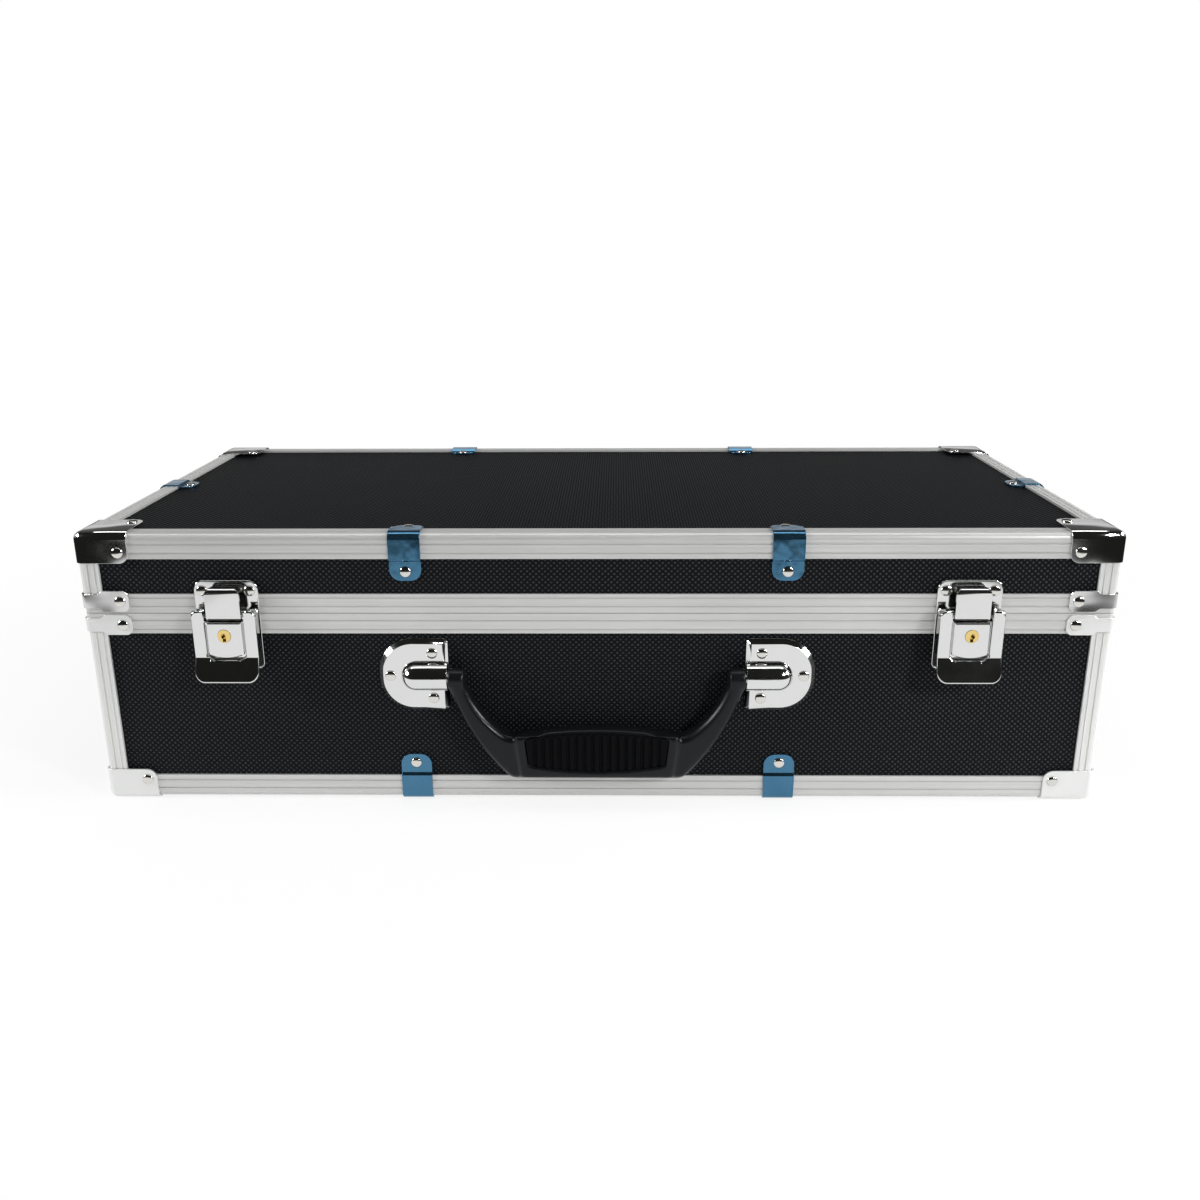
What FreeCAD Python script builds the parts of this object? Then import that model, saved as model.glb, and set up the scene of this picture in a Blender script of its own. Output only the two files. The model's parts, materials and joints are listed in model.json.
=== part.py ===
import FreeCAD, Part
import math
import os
import re

import Sketcher

# A carrying case of black boards in ribbed aluminium edging, with a hinged lid, two keyed draw latches
# and a folding handle. +Z is up, the front faces -Y, and the origin is under the middle of the whole case.

# Driving sizes: millimetres, shares and degrees
SIZES = {
    # Case over its trim
    "case_width": 498.0,
    "case_depth": 233.0,
    "base_height": 98.7,
    "lid_height": 39.5,
    "parting_gap": 0.3,
    # Boards, and the extruded edging that grips them
    "board": 4.8,
    "trim_wall": 1.2,
    "trim_lip": 1.2,
    "edge_leg": 10.0,
    "lid_edge_leg": 12.5,
    "base_edge_leg": 12.3,
    "trim_round": 3.2,
    "groove_width": 0.7,
    "groove_depth": 0.35,
    "edge_first_groove_share": 0.22,
    "edge_second_groove_share": 0.7,
    # Rims at the parting line
    "base_rim_leg": 10.2,
    "lid_rim_leg": 9.4,
    "rim_web": 1.5,
    "rim_inner_leg": 8.0,
    "tongue_clearance": 0.3,
    "tongue_wall": 1.2,
    "tongue_height": 3.0,
    "rim_first_groove_share": 0.35,
    "rim_second_groove_share": 0.8,
    # Linings
    "lining": 3.0,
    "lining_clearance": 0.5,
    # Pressed corners, straps and clips
    "sheet": 0.9,
    "bracket_round": 3.0,
    "bracket_corner": 2.8,
    "bracket_inner_bevel": 1.8,
    "top_corner_reach": 25.3,
    "top_corner_drop": 14.5,
    "bottom_corner_reach": 25.0,
    "bottom_corner_rise": 15.6,
    "strap_reach": 23.0,
    "strap_corner": 2.0,
    "strap_waist_reach": 8.5,
    "strap_notch": 1.7,
    "waist_slant_share": 0.9,
    "strap_margin": 0.7,
    "lid_strap_height": 10.5,
    "base_strap_height": 10.1,
    "clip_place_share": 0.1835,
    "clip_width": 15.4,
    "clip_corner": 3.2,
    "lid_clip_share": 0.595,
    "base_clip_leg": 24.0,
    "clip_flat_leg": 18.2,
    "bend_share": 0.4142,
    # Rivet heads
    "rivet_radius": 2.7,
    "rivet_height": 1.1,
    "rivet_taper_angle": 38.0,
    "rivet_side_count": 8.0,
    "corner_rivet_inset": 4.8,
    "bottom_rivet_inset": 4.7,
    "corner_rivet_rise": 5.4,
    "strap_rivet_inset": 4.3,
    "clip_rivet_inset": 4.6,
    "clip_flat_rivet_inset": 3.6,
    # Rear hinges
    "hinge_inset": 109.0,
    "hinge_length": 40.0,
    "knuckle_share": 0.3333,
    "knuckle_clearance": 0.2,
    "barrel_radius": 2.6,
    "barrel_clearance": 0.3,
    "leaf": 1.0,
    "leaf_height": 12.0,
    "hinge_pin_radius": 1.3,
    "pin_clearance": 0.05,
    "hinge_rivet_place": 13.0,
    # Handle brackets
    "bracket_inner": 72.8,
    "bracket_length": 34.1,
    "bracket_half_height": 18.8,
    "bracket_end_flat": 3.6,
    "bracket_side_round": 2.5,
    "bracket_plate": 3.0,
    "bracket_bevel": 2.2,
    "dome_radius": 7.3,
    "dome_length": 23.0,
    "bracket_rivet_inset": 7.6,
    "bracket_rivet_offset": 11.7,
    "bracket_end_rivet_inset": 5.8,
    # Handle
    "bracket_rim_gap": 2.6,
    "bow_thickness": 10.8,
    "bow_back_gap": 1.2,
    "handle_clearance": 0.4,
    "arm_width": 8.0,
    "bow_bottom_drop": 52.0,
    "bow_bottom_half": 42.5,
    "arm_outer_bend": 105.0,
    "arm_inner_bend": 50.0,
    "grip_top_drop": 29.5,
    "grip_top_half": 43.0,
    "grip_crown_bend": 235.0,
    "bow_corner": 6.0,
    "bow_bevel": 2.2,
    "grip_bulge": 2.2,
    "grip_half": 40.5,
    "grip_slant": 3.0,
    "grip_margin": 1.6,
    "pad_half": 35.0,
    "pad_slant": 1.5,
    "pad_top_drop": 29.3,
    "pad_top_bend": 235.0,
    "pad_bottom_drop": 42.8,
    "pad_bottom_bend": 170.0,
    "pad_clearance": 0.2,
    "pad_base": 1.6,
    "rib_pitch": 4.05,
    "rib_width": 2.3,
    "rib_height": 1.0,
    "rib_gap_count": 16.0,
    "handle_pin_radius": 2.2,
    "pin_in_arm": 6.4,
    "pin_in_bracket": 15.0,
    # Latches, as heights from the parting plane and distances out from the trim
    "latch_inset": 70.6,
    "latch_width": 31.0,
    "latch_plate": 1.0,
    "lever_wall": 1.2,
    "lever_out": 9.0,
    "lever_rise": 4.0,
    "lever_bend_drop": 19.5,
    "lever_bottom_drop": 31.5,
    "lip_flare": 4.0,
    "lever_shoulder_round": 2.6,
    "lever_bottom_round": 5.0,
    "lever_wall_depth": 3.6,
    "lever_wall_drop": 18.0,
    "lever_side": 6.2,
    "window_drop": 21.0,
    "window_round": 4.0,
    "flange_height": 1.9,
    "lever_pivot_out": 5.8,
    "lever_pivot_height": 2.8,
    "lever_pin_radius": 0.7,
    "ear_radius": 1.4,
    "ear_round_share": 0.9,
    "ear_wall": 1.2,
    "ear_gap": 0.4,
    "ear_foot_drop": 14.0,
    "base_plate_drop": 28.0,
    "plate_corner": 3.0,
    "keeper_height": 17.0,
    "keeper_corner": 4.5,
    "keeper_rivet_inset": 4.0,
    "keeper_rivet_height": 11.8,
    "ledge_margin": 0.8,
    "ledge_out": 6.0,
    "ledge_height": 12.0,
    "ledge_wall": 1.1,
    "hasp_clearance": 1.0,
    "hasp_wall": 1.2,
    "hasp_pivot_height": 0.4,
    "hasp_eye_radius": 2.0,
    "hasp_pin_radius": 0.8,
    "hasp_corner": 3.2,
    "claw_clearance": 0.3,
    "claw_back": 3.0,
    "claw_bend": 2.2,
    "lock_clearance": 0.8,
    "lock_top_drop": 1.8,
    "lock_side_drop": 18.0,
    "lock_flange_drop": 20.6,
    "lock_bottom_bend": 20.0,
    "lock_proud": 0.4,
    "lock_depth": 2.6,
    "lock_flange": 1.2,
    "lock_edge": 0.6,
    "plug_radius": 3.2,
    "plug_drop": 8.4,
    "plug_proud": 0.2,
    "keyhole_radius": 1.5,
    "keyhole_width": 1.5,
    "keyhole_drop": 2.8,
    "keyhole_depth": 2.2,
    "cam_depth": 1.6,
    "cam_width": 4.4,
    "cam_reach": 7.6,
    # How far a cut runs past what it cuts
    "overrun": 2.0,
}

# Places that follow from the sizes
PLACES = {
    "half_width": "case_width/2",
    "latch_place": "half_width - latch_inset",
    "hinge_place": "half_width - hinge_inset",
    "clip_place": "case_width*clip_place_share",
    "lid_clip_leg": "lid_height*lid_clip_share",
    "front_reach": "max(lever_out + lip_flare; grip_out)",
    "hinge_offset": "barrel_radius + barrel_clearance",
    "rear_reach": "hinge_offset + barrel_radius",
    "front": "(front_reach - rear_reach - case_depth)/2",
    "back": "front + case_depth",
    "middle": "front + case_depth/2",
    "parting": "sheet + base_height",
    "lid_bottom": "parting + parting_gap",
    "top": "lid_bottom + lid_height",
    "board_in": "trim_wall + board",
    "core": "board_in + trim_lip",
    "tongue_in": "core + tongue_clearance",
    "tongue_out": "tongue_in + tongue_wall",
    "mitre_in": "trim_round*(1 - sqrt(0.5))",
    "mitre_reach": "tongue_out + overrun",
    "hinge_axis": "parting + parting_gap/2",
    "hinge_back": "back + hinge_offset",
    "knuckle_half": "hinge_length*knuckle_share/2",
    "leaf_edge": "barrel_radius + barrel_clearance",
    "bow_out": "bow_back_gap + bow_thickness - trim_wall",
    "pivot_out": "bow_out - bow_thickness/2",
    "pivot_height": "parting - base_rim_leg - bracket_rim_gap - bracket_half_height",
    "bracket_outer": "bracket_inner + bracket_length",
    "bracket_end_round": "bracket_half_height - bracket_end_flat/2",
    "arm_outer": "bracket_inner - handle_clearance",
    "arm_inner": "arm_outer - arm_width",
    "bow_bottom": "pivot_height - bow_bottom_drop",
    "grip_top": "pivot_height - grip_top_drop",
    "grip_out": "bow_out + grip_bulge",
    "pad_top": "pivot_height - pad_top_drop",
    "pad_bottom": "pivot_height - pad_bottom_drop",
    "pad_out": "grip_out - rib_height",
    "pad_back": "pad_out - pad_base",
    "latch_half": "latch_width/2",
    "window_half": "latch_half - lever_side",
    "hasp_half": "window_half - hasp_clearance",
    "lock_half": "window_half - lock_clearance",
    "ledge_half": "hasp_half - ledge_margin",
    "keeper_rivet_place": "latch_half - keeper_rivet_inset",
    "lever_back": "lever_out - lever_wall",
    "wall_back": "lever_back - lever_wall_depth",
    "wall_in": "latch_half - lever_wall",
    "ear_out": "wall_in - ear_gap",
    "flange_out": "window_half + lever_wall",
    "hasp_out": "lever_pivot_out + hasp_eye_radius",
    "hasp_in": "hasp_out - hasp_wall",
    "ledge_top": "ledge_height + ledge_wall",
    "claw_bottom": "ledge_top + claw_clearance",
    "claw_top": "claw_bottom + hasp_wall",
    "lock_out": "lever_out + lock_proud",
    "lock_back": "lock_out - lock_depth",
    "plug_back": "lock_back - lock_flange",
}

# Angles and the tolerance for finding edges and faces
HALF_TURN = 180.0
TOLERANCE = 1e-4
AXES = {"x": (1, 0, 0), "y": (0, 1, 0), "z": (0, 0, 1)}

doc = FreeCAD.newDocument("carrying_case")
sheet = doc.addObject("Spreadsheet::Sheet", "Sizes")
for row, (alias, size) in enumerate(SIZES.items(), start=1):
    sheet.set(f"A{row}", alias)
    sheet.set(f"B{row}", str(size))
    sheet.setAlias(f"B{row}", alias)
doc.recompute()

nodes = {}
pockets = []


# Expressions

def cells(text):
    """The text as an expression in which each named size or place reads the sheet."""
    def swap(word):
        name = word.group()
        if name in PLACES:
            return f"({cells(PLACES[name])})"
        return f"Sizes.{name}" if name in SIZES else name
    return re.sub(r"[a-z_]+", swap, text)


def value(text):
    """The number that an expression gives now."""
    return float(sheet.evalExpression(cells(text)))


def near(first, second):
    return abs(first - second) < TOLERANCE


def node(label, item):
    """Keep a finished piece under its own name."""
    item.Label = label
    nodes[label] = item
    return item


# Sketches

def centre_of_arc(start, end, radius, hint):
    """Of the two centres of an arc through two points, the one nearer to the hint."""
    chord = end - start
    across = FreeCAD.Vector(-chord.y, chord.x, 0).normalize()
    height = math.sqrt(max(radius ** 2 - (chord.Length / 2) ** 2, 0))
    middle = (start + end) / 2
    return min((middle + across * height, middle - across * height), key=lambda c: (c - hint).Length)


def round_corner(before, corner, after):
    """A right-angled corner as its two tangent points, the first of which starts an arc."""
    x, y, radius = corner
    points = []
    for other in (before, after):
        step_x = value(other[0]) - value(x)
        step_y = value(other[1]) - value(y)
        along_x = abs(step_x) > abs(step_y)
        sign = "+" if (step_x if along_x else step_y) > 0 else "-"
        points.append((f"({x}) {sign} ({radius})", y) if along_x else (x, f"({y}) {sign} ({radius})"))
    first, second = points
    flat = near(value(first[1]), value(y))
    hint = (first[0], second[1]) if flat else (second[0], first[1])
    return [(*first, radius, *hint), second]


def draw(sketch, corners):
    """A closed outline. A corner is (x, y), (x, y, radius) where it is rounded, or
    (x, y, radius, near_x, near_y) where an arc leaves it with its centre on that side."""
    path = []
    for index, corner in enumerate(corners):
        if len(corner) == 3:
            following = corners[(index + 1) % len(corners)]
            path += round_corner(corners[index - 1], corner, following)
        else:
            path.append(corner)
    points = [FreeCAD.Vector(value(item[0]), value(item[1]), 0) for item in path]
    shapes, ends = [], []
    for index, item in enumerate(path):
        start = points[index]
        end = points[(index + 1) % len(points)]
        if len(item) == 2:
            shapes.append(Part.LineSegment(start, end))
            ends.append((1, 2))
            continue
        radius = value(item[2])
        centre = centre_of_arc(start, end, radius, FreeCAD.Vector(value(item[3]), value(item[4]), 0))
        angles = [math.atan2(point.y - centre.y, point.x - centre.x) for point in (start, end)]
        turn = (angles[1] - angles[0]) % math.tau
        forward = turn < math.pi
        first = angles[0] if forward else angles[1]
        sweep = turn if forward else math.tau - turn
        circle = Part.Circle(centre, FreeCAD.Vector(*AXES["z"]), radius)
        shapes.append(Part.ArcOfCircle(circle, first, first + sweep))
        ends.append((1, 2) if forward else (2, 1))
    base = sketch.GeometryCount
    sketch.addGeometry(shapes)
    count = len(path)
    sketch.addConstraint([
        Sketcher.Constraint("Coincident", base + i, ends[i][1], base + after, ends[after][0])
        for i, after in ((i, (i + 1) % count) for i in range(count))
    ])
    bound = []
    for index, item in enumerate(path):
        place = (-1, 1, base + index, ends[index][0])
        bound.append((Sketcher.Constraint("DistanceX", *place, points[index].x), item[0]))
        bound.append((Sketcher.Constraint("DistanceY", *place, points[index].y), item[1]))
        if len(item) > 2:
            bound.append((Sketcher.Constraint("Radius", base + index, value(item[2])), item[2]))
    bind(sketch, bound)


def draw_circle(sketch, x, y, radius):
    index = sketch.GeometryCount
    centre = FreeCAD.Vector(value(x), value(y), 0)
    sketch.addGeometry(Part.Circle(centre, FreeCAD.Vector(*AXES["z"]), value(radius)))
    bind(sketch, [
        (Sketcher.Constraint("DistanceX", -1, 1, index, 3, centre.x), x),
        (Sketcher.Constraint("DistanceY", -1, 1, index, 3, centre.y), y),
        (Sketcher.Constraint("Radius", index, value(radius)), radius),
    ])


def bind(sketch, bound):
    """Add constraints, each tied to its expression."""
    numbers = sketch.addConstraint([constraint for constraint, text in bound])
    for number, (constraint, text) in zip(numbers, bound):
        sketch.setExpression(f"Constraints[{number}]", cells(text))


def sketch_on(body, role, place, loops=(), circles=(), rise="0"):
    """A sketch parallel to one of the body's own planes: XY at a height, XZ at a y, YZ at an x."""
    sketch = body.newObject("Sketcher::SketchObject", f"{body.Name}_outline")
    plane = next(item for item in body.Origin.OriginFeatures if item.Role == role)
    sketch.AttachmentSupport = (plane, [""])
    sketch.MapMode = "FlatFace"
    offset = f"-({place})" if role == "XZ_Plane" else place
    sketch.setExpression("AttachmentOffset.Base.z", cells(offset))
    sketch.setExpression("AttachmentOffset.Base.y", cells(rise))
    for loop in loops:
        draw(sketch, loop)
    for circle in circles:
        draw_circle(sketch, *circle)
    return sketch


# Features

def new_body(label):
    return doc.addObject("PartDesign::Body", label)


def pad(body, role, place, length, loops=(), circles=()):
    """Material from the plane: up from XY, towards the front from XZ, to the right from YZ."""
    item = body.newObject("PartDesign::Pad", f"{body.Name}_pad")
    item.Profile = sketch_on(body, role, place, loops, circles)
    item.setExpression("Length", cells(length))
    return item


def pocket(body, role, place, length, loops=(), circles=()):
    """A cut from the plane: down from XY, towards the back from XZ, to the left from YZ."""
    item = body.newObject("PartDesign::Pocket", f"{body.Name}_cut")
    item.Profile = sketch_on(body, role, place, loops, circles)
    item.setExpression("Length", cells(length))
    pockets.append(item)
    return item


def finish_edges(body, kind, size, chosen):
    """A fillet or chamfer on the edges that a test picks."""
    doc.recompute()
    base = body.Tip
    names = [f"Edge{number}" for number, edge in enumerate(base.Shape.Edges, start=1) if chosen(edge)]
    item = body.newObject(f"PartDesign::{kind}", f"{body.Name}_{kind.lower()}")
    item.Base = (base, names)
    item.setExpression("Radius" if kind == "Fillet" else "Size", cells(size))
    return item


def span(edge, axis):
    """Lowest and highest place of an edge along an axis."""
    box = edge.BoundBox
    return {"x": (box.XMin, box.XMax), "y": (box.YMin, box.YMax), "z": (box.ZMin, box.ZMax)}[axis]


def lies_at(edge, **places):
    """Whether an edge keeps to the given places, such as x=..., along its whole length."""
    return all(near(span(edge, axis)[0], place) and near(span(edge, axis)[1], place)
               for axis, place in places.items())


def rectangle(low_x, high_x, low_y, high_y):
    return [(low_x, low_y), (high_x, low_y), (high_x, high_y), (low_x, high_y)]


def corner_waste(x, y, radius, side_x, side_y):
    """What rounding takes off a corner: side_x and side_y are the signs towards the piece."""
    along = f"({x}) {side_x} ({radius})"
    upright = f"({y}) {side_y} ({radius})"
    return [(x, y), (along, y, radius, along, upright), (x, upright)]


# Simple solids and groups

def block(label, x, y, z):
    """A box between pairs of places."""
    item = doc.addObject("Part::Box", label)
    for size, axis, (low, high) in (("Length", "x", x), ("Width", "y", y), ("Height", "z", z)):
        item.setExpression(size, cells(f"({high}) - ({low})"))
        item.setExpression(f"Placement.Base.{axis}", cells(low))
    return item


def turn_to(item, direction, places):
    """Point an item's own Z along a direction and tie its place."""
    turn = FreeCAD.Rotation(FreeCAD.Vector(*AXES["z"]), FreeCAD.Vector(*direction))
    item.Placement = FreeCAD.Placement(FreeCAD.Vector(), turn)
    for axis, place in zip("xyz", places):
        item.setExpression(f"Placement.Base.{axis}", cells(place))
    return item


def bar(label, low, length, y, z, radius):
    """A round bar along X."""
    item = doc.addObject("Part::Cylinder", label)
    item.setExpression("Radius", cells(radius))
    item.setExpression("Height", cells(length))
    return turn_to(item, AXES["x"], (low, y, z))


def fused(label, items):
    item = doc.addObject("Part::MultiFuse", label)
    item.Shapes = items
    item.Refine = True
    return item


def cut(label, base, tool):
    item = doc.addObject("Part::Cut", label)
    item.Base = base
    item.Tool = tool
    return item


def mirrored(source, axis, label=None):
    """A copy across the middle of the case, left to right or front to back."""
    item = doc.addObject("Part::Mirroring", label or f"{source.Name}_mirror_{axis}")
    item.Source = source
    item.Normal = FreeCAD.Vector(*AXES[axis])
    if axis == "y":
        item.setExpression("Base.y", cells("middle"))
    return item


def group(label, items):
    item = doc.addObject("Part::Compound", label)
    item.Links = items
    return item


def two_ways(item):
    return [item, mirrored(item, "x")]


def four_ways(item):
    pair = two_ways(item)
    return pair + [mirrored(member, "y") for member in pair]


# Extruded edging

def groove_steps(start, leg, shares):
    """Steps of the grooves along a leg, as (place along it, depth)."""
    steps = []
    for share in shares:
        centre = f"{start} + ({leg} - {start})*{share}"
        low = f"{centre} - groove_width/2"
        high = f"{centre} + groove_width/2"
        steps += [(low, "0"), (low, "groove_depth"), (high, "groove_depth"), (high, "0")]
    return steps


EDGE_GROOVES = ("edge_first_groove_share", "edge_second_groove_share")
RIM_GROOVES = ("rim_first_groove_share", "rim_second_groove_share")


def edge_section(across, upright, leg):
    """An angle with a rounded outer corner, a core, and a slot for the edge of each board."""
    corners = [("0", "0", "trim_round")]
    corners += groove_steps("trim_round", "edge_leg", EDGE_GROOVES)
    corners += [("edge_leg", "0"), ("edge_leg", "trim_wall"), ("core", "trim_wall"), ("core", "board_in")]
    corners += [("edge_leg", "board_in"), ("edge_leg", "core"), ("core", "core"), ("core", "edge_leg")]
    corners += [("board_in", "edge_leg"), ("board_in", "core"), ("trim_wall", "core")]
    corners += [("trim_wall", leg), ("0", leg)]
    corners += [(depth, place) for place, depth in reversed(groove_steps("trim_round", leg, EDGE_GROOVES))]
    return [(across(corner[0]), upright(corner[1]), *corner[2:]) for corner in corners]


def base_rim_section(across, upright):
    """A channel over the board's edge, with a tongue that stands up inside the lid."""
    corners = [("0", "0"), ("tongue_in", "0"), ("tongue_in", "tongue_height")]
    corners += [("tongue_out", "tongue_height"), ("tongue_out", "-rim_web")]
    corners += [("core", "-rim_web"), ("core", "-rim_inner_leg")]
    corners += [("board_in", "-rim_inner_leg"), ("board_in", "-rim_web"), ("trim_wall", "-rim_web")]
    corners += [("trim_wall", "-base_rim_leg"), ("0", "-base_rim_leg")]
    steps = reversed(groove_steps("0", "base_rim_leg", RIM_GROOVES))
    corners += [(depth, f"-({place})") for place, depth in steps]
    return [(across(a), upright(b)) for a, b in corners]


def lid_rim_section(across, upright):
    """A channel over the edge of the lid's board."""
    corners = [("0", "0"), ("core", "0"), ("core", "rim_inner_leg"), ("board_in", "rim_inner_leg")]
    corners += [("board_in", "rim_web"), ("trim_wall", "rim_web"), ("trim_wall", "lid_rim_leg")]
    corners += [("0", "lid_rim_leg")]
    steps = reversed(groove_steps("0", "lid_rim_leg", RIM_GROOVES))
    corners += [(depth, place) for place, depth in steps]
    return [(across(a), upright(b)) for a, b in corners]


def from_front(inward):
    return f"front + ({inward})"


def from_left(inward):
    return f"({inward}) - half_width"


def make_edges(name, upright, leg):
    """The four edge extrusions of the lid's top or the base's bottom, square-ended at the corner posts."""
    ahead = new_body(f"{name}_front")
    pad(ahead, "YZ_Plane", "edge_leg - half_width", "case_width - 2*edge_leg",
        [edge_section(from_front, upright, leg)])
    beside = new_body(f"{name}_left")
    pad(beside, "XZ_Plane", "back - edge_leg", "case_depth - 2*edge_leg",
        [edge_section(from_left, upright, leg)])
    node(f"{name}_front", ahead)
    node(f"{name}_left", beside)
    node(f"{name}_back", mirrored(ahead, "y"))
    node(f"{name}_right", mirrored(beside, "x"))


def make_posts(name, low, high):
    """Upright corner extrusions with the same section as the edges."""
    body = new_body(f"{name}_front_left")
    pad(body, "XY_Plane", low, f"({high}) - ({low})", [edge_section(from_left, from_front, "edge_leg")])
    node(name, group(name, four_ways(body)))


def mitre_waste(place):
    """What a mitred, rounded corner takes off the end of a rim, from (along, inward) to the plan."""
    corner = place("trim_round", "0")
    return [place("0", "0"), (*corner, "trim_round", *place("trim_round", "trim_round")),
            place("mitre_in", "mitre_in"), place("mitre_reach", "mitre_reach"), place("0", "mitre_reach")]


def make_rims(name, section, upright, high):
    """The four rim extrusions of one half, mitred at the corners."""
    depth = "base_rim_leg + lid_rim_leg + tongue_height"
    ahead = new_body(f"{name}_front")
    pad(ahead, "YZ_Plane", "-half_width", "case_width", [section(from_front, upright)])
    pocket(ahead, "XY_Plane", high, depth, [
        mitre_waste(lambda along, inward: (f"({along}) - half_width", f"front + ({inward})")),
        mitre_waste(lambda along, inward: (f"half_width - ({along})", f"front + ({inward})")),
    ])
    beside = new_body(f"{name}_left")
    pad(beside, "XZ_Plane", "back", "case_depth", [section(from_left, upright)])
    pocket(beside, "XY_Plane", high, depth, [
        mitre_waste(lambda along, inward: (f"({inward}) - half_width", f"front + ({along})")),
        mitre_waste(lambda along, inward: (f"({inward}) - half_width", f"back - ({along})")),
    ])
    node(f"{name}_front", ahead)
    node(f"{name}_left", beside)
    node(f"{name}_back", mirrored(ahead, "y"))
    node(f"{name}_right", mirrored(beside, "x"))


# Boards and linings

def make_boards():
    """Boards, held by their edges in the slots of the edging."""
    inside_x = ("core - half_width", "half_width - core")
    inside_y = ("front + core", "back - core")
    skin_front = ("front + trim_wall", "front + board_in")
    skin_left = ("trim_wall - half_width", "board_in - half_width")
    heights = {"base": ("sheet + core", "parting - rim_web"), "lid": ("lid_bottom + rim_web", "top - core")}
    for half, upright in heights.items():
        ahead = node(f"{half}_front_panel", block(f"{half}_front_panel", inside_x, skin_front, upright))
        beside = node(f"{half}_left_panel", block(f"{half}_left_panel", skin_left, inside_y, upright))
        node(f"{half}_back_panel", mirrored(ahead, "y"))
        node(f"{half}_right_panel", mirrored(beside, "x"))
    floor = ("sheet + trim_wall", "sheet + board_in")
    ceiling = ("top - board_in", "top - trim_wall")
    node("base_bottom_panel", block("base_bottom_panel", inside_x, inside_y, floor))
    node("lid_top_panel", block("lid_top_panel", inside_x, inside_y, ceiling))


def make_lining(label, low, high, hollow_low, hollow_high):
    """A thin open box inside one half, seated on the inner lips of the edging."""
    def box(name, inset, upright):
        return block(name, (f"{inset} - half_width", f"half_width - ({inset})"),
                     (f"front + {inset}", f"back - ({inset})"), upright)
    outer = box(f"{label}_outer", "core", (low, high))
    inner = box(f"{label}_inner", "core + lining", (hollow_low, hollow_high))
    node(label, cut(label, outer, inner))


# Pressed corners, straps and clips

def make_pressed_corners(label, low, high, outside, reach):
    """Three-sided sheet corners, rounded where they wrap the trim. The outside is the top or the bottom."""
    body = new_body(f"{label}_front_left")
    plan = rectangle("-half_width - sheet", f"{reach} - half_width", "front - sheet", f"front + {reach}")
    pad(body, "XY_Plane", low, f"({high}) - ({low})", [plan])
    left, right = value("-half_width - sheet"), value(f"{reach} - half_width")
    ahead, behind = value("front - sheet"), value(f"front + {reach}")
    outer = value(outside)
    upward = near(outer, value(high))
    inner = value(low) if upward else value(high)
    finish_edges(body, "Fillet", "bracket_round + sheet", lambda edge: (
        lies_at(edge, x=left, y=ahead) or lies_at(edge, x=left, z=outer) or lies_at(edge, y=ahead, z=outer)))
    finish_edges(body, "Chamfer", "bracket_corner", lambda edge: (
        lies_at(edge, x=right, z=inner) or lies_at(edge, y=behind, z=inner)
        or lies_at(edge, x=right, y=behind)))
    hollow = new_body(f"{label}_hollow")
    hollow_low, hollow_high = (low, f"{high} - sheet") if upward else (f"{low} + sheet", high)
    pad(hollow, "XY_Plane", hollow_low, f"({hollow_high}) - ({hollow_low})", [rectangle(
        "-half_width", f"{reach} - half_width + overrun", "front", f"front + {reach} + overrun")])
    wall_x, wall_y = value("-half_width"), value("front")
    wall_z = value(hollow_high if upward else hollow_low)
    finish_edges(hollow, "Chamfer", "bracket_inner_bevel", lambda edge: (
        lies_at(edge, x=wall_x, y=wall_y) or lies_at(edge, x=wall_x, z=wall_z)
        or lies_at(edge, y=wall_y, z=wall_z)))
    shell = cut(f"{label}_shell", body, hollow)
    node(label, group(label, four_ways(shell)))


def make_straps(label, low, high):
    """Sheet straps that wrap a rim corner, narrower round the corner itself."""
    body = new_body(f"{label}_front_left")
    tab_x = "strap_reach - half_width"
    tab_y = "front + strap_reach"
    outer_x = "-half_width - sheet"
    outer_y = "front - sheet"
    pad(body, "XY_Plane", low, f"({high}) - ({low})", [[
        (outer_x, tab_y), (outer_x, outer_y, "bracket_round + sheet"), (tab_x, outer_y), (tab_x, "front"),
        ("-half_width", "front", "bracket_round"), ("-half_width", tab_y),
    ]])
    waist = rectangle(f"{outer_x} - overrun", "strap_waist_reach - half_width",
                      f"{outer_y} - overrun", "front + strap_waist_reach")
    pocket(body, "XY_Plane", high, "strap_notch", [waist])
    pocket(body, "XY_Plane", f"{low} + strap_notch", "strap_notch + overrun", [waist])
    waist_x, waist_y = value("strap_waist_reach - half_width"), value("front + strap_waist_reach")
    finish_edges(body, "Chamfer", "strap_notch*waist_slant_share", lambda edge: any(
        lies_at(edge, x=waist_x, z=level) or lies_at(edge, y=waist_y, z=level)
        for level in (value(low), value(high))))
    finish_edges(body, "Chamfer", "strap_corner", lambda edge: near(edge.Length, value("sheet")) and (
        lies_at(edge, x=value(tab_x)) or lies_at(edge, y=value(tab_y))))
    node(label, group(label, four_ways(body)))


def clip_section(across, upright, trim_leg, leg):
    """A sheet bent round an edge, which steps down from the trim to the board on both legs."""
    bend = "sheet*bend_share"
    low = "trim_wall - sheet"
    corners = [("clip_flat_leg", low), (f"edge_leg + trim_wall + {bend}", low)]
    corners += [(f"edge_leg + {bend}", "-sheet"), ("-sheet", "-sheet", "bracket_round + sheet")]
    corners += [("-sheet", f"{trim_leg} + {bend}")]
    corners += [(low, f"{trim_leg} + trim_wall + {bend}"), (low, leg)]
    corners += [("trim_wall", leg), ("trim_wall", f"{trim_leg} + trim_wall"), ("0", trim_leg)]
    corners += [("0", "0", "bracket_round"), ("edge_leg", "0"), ("edge_leg + trim_wall", "trim_wall")]
    corners += [("clip_flat_leg", "trim_wall")]
    return [(across(corner[0]), upright(corner[1]), *corner[2:]) for corner in corners]


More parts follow.
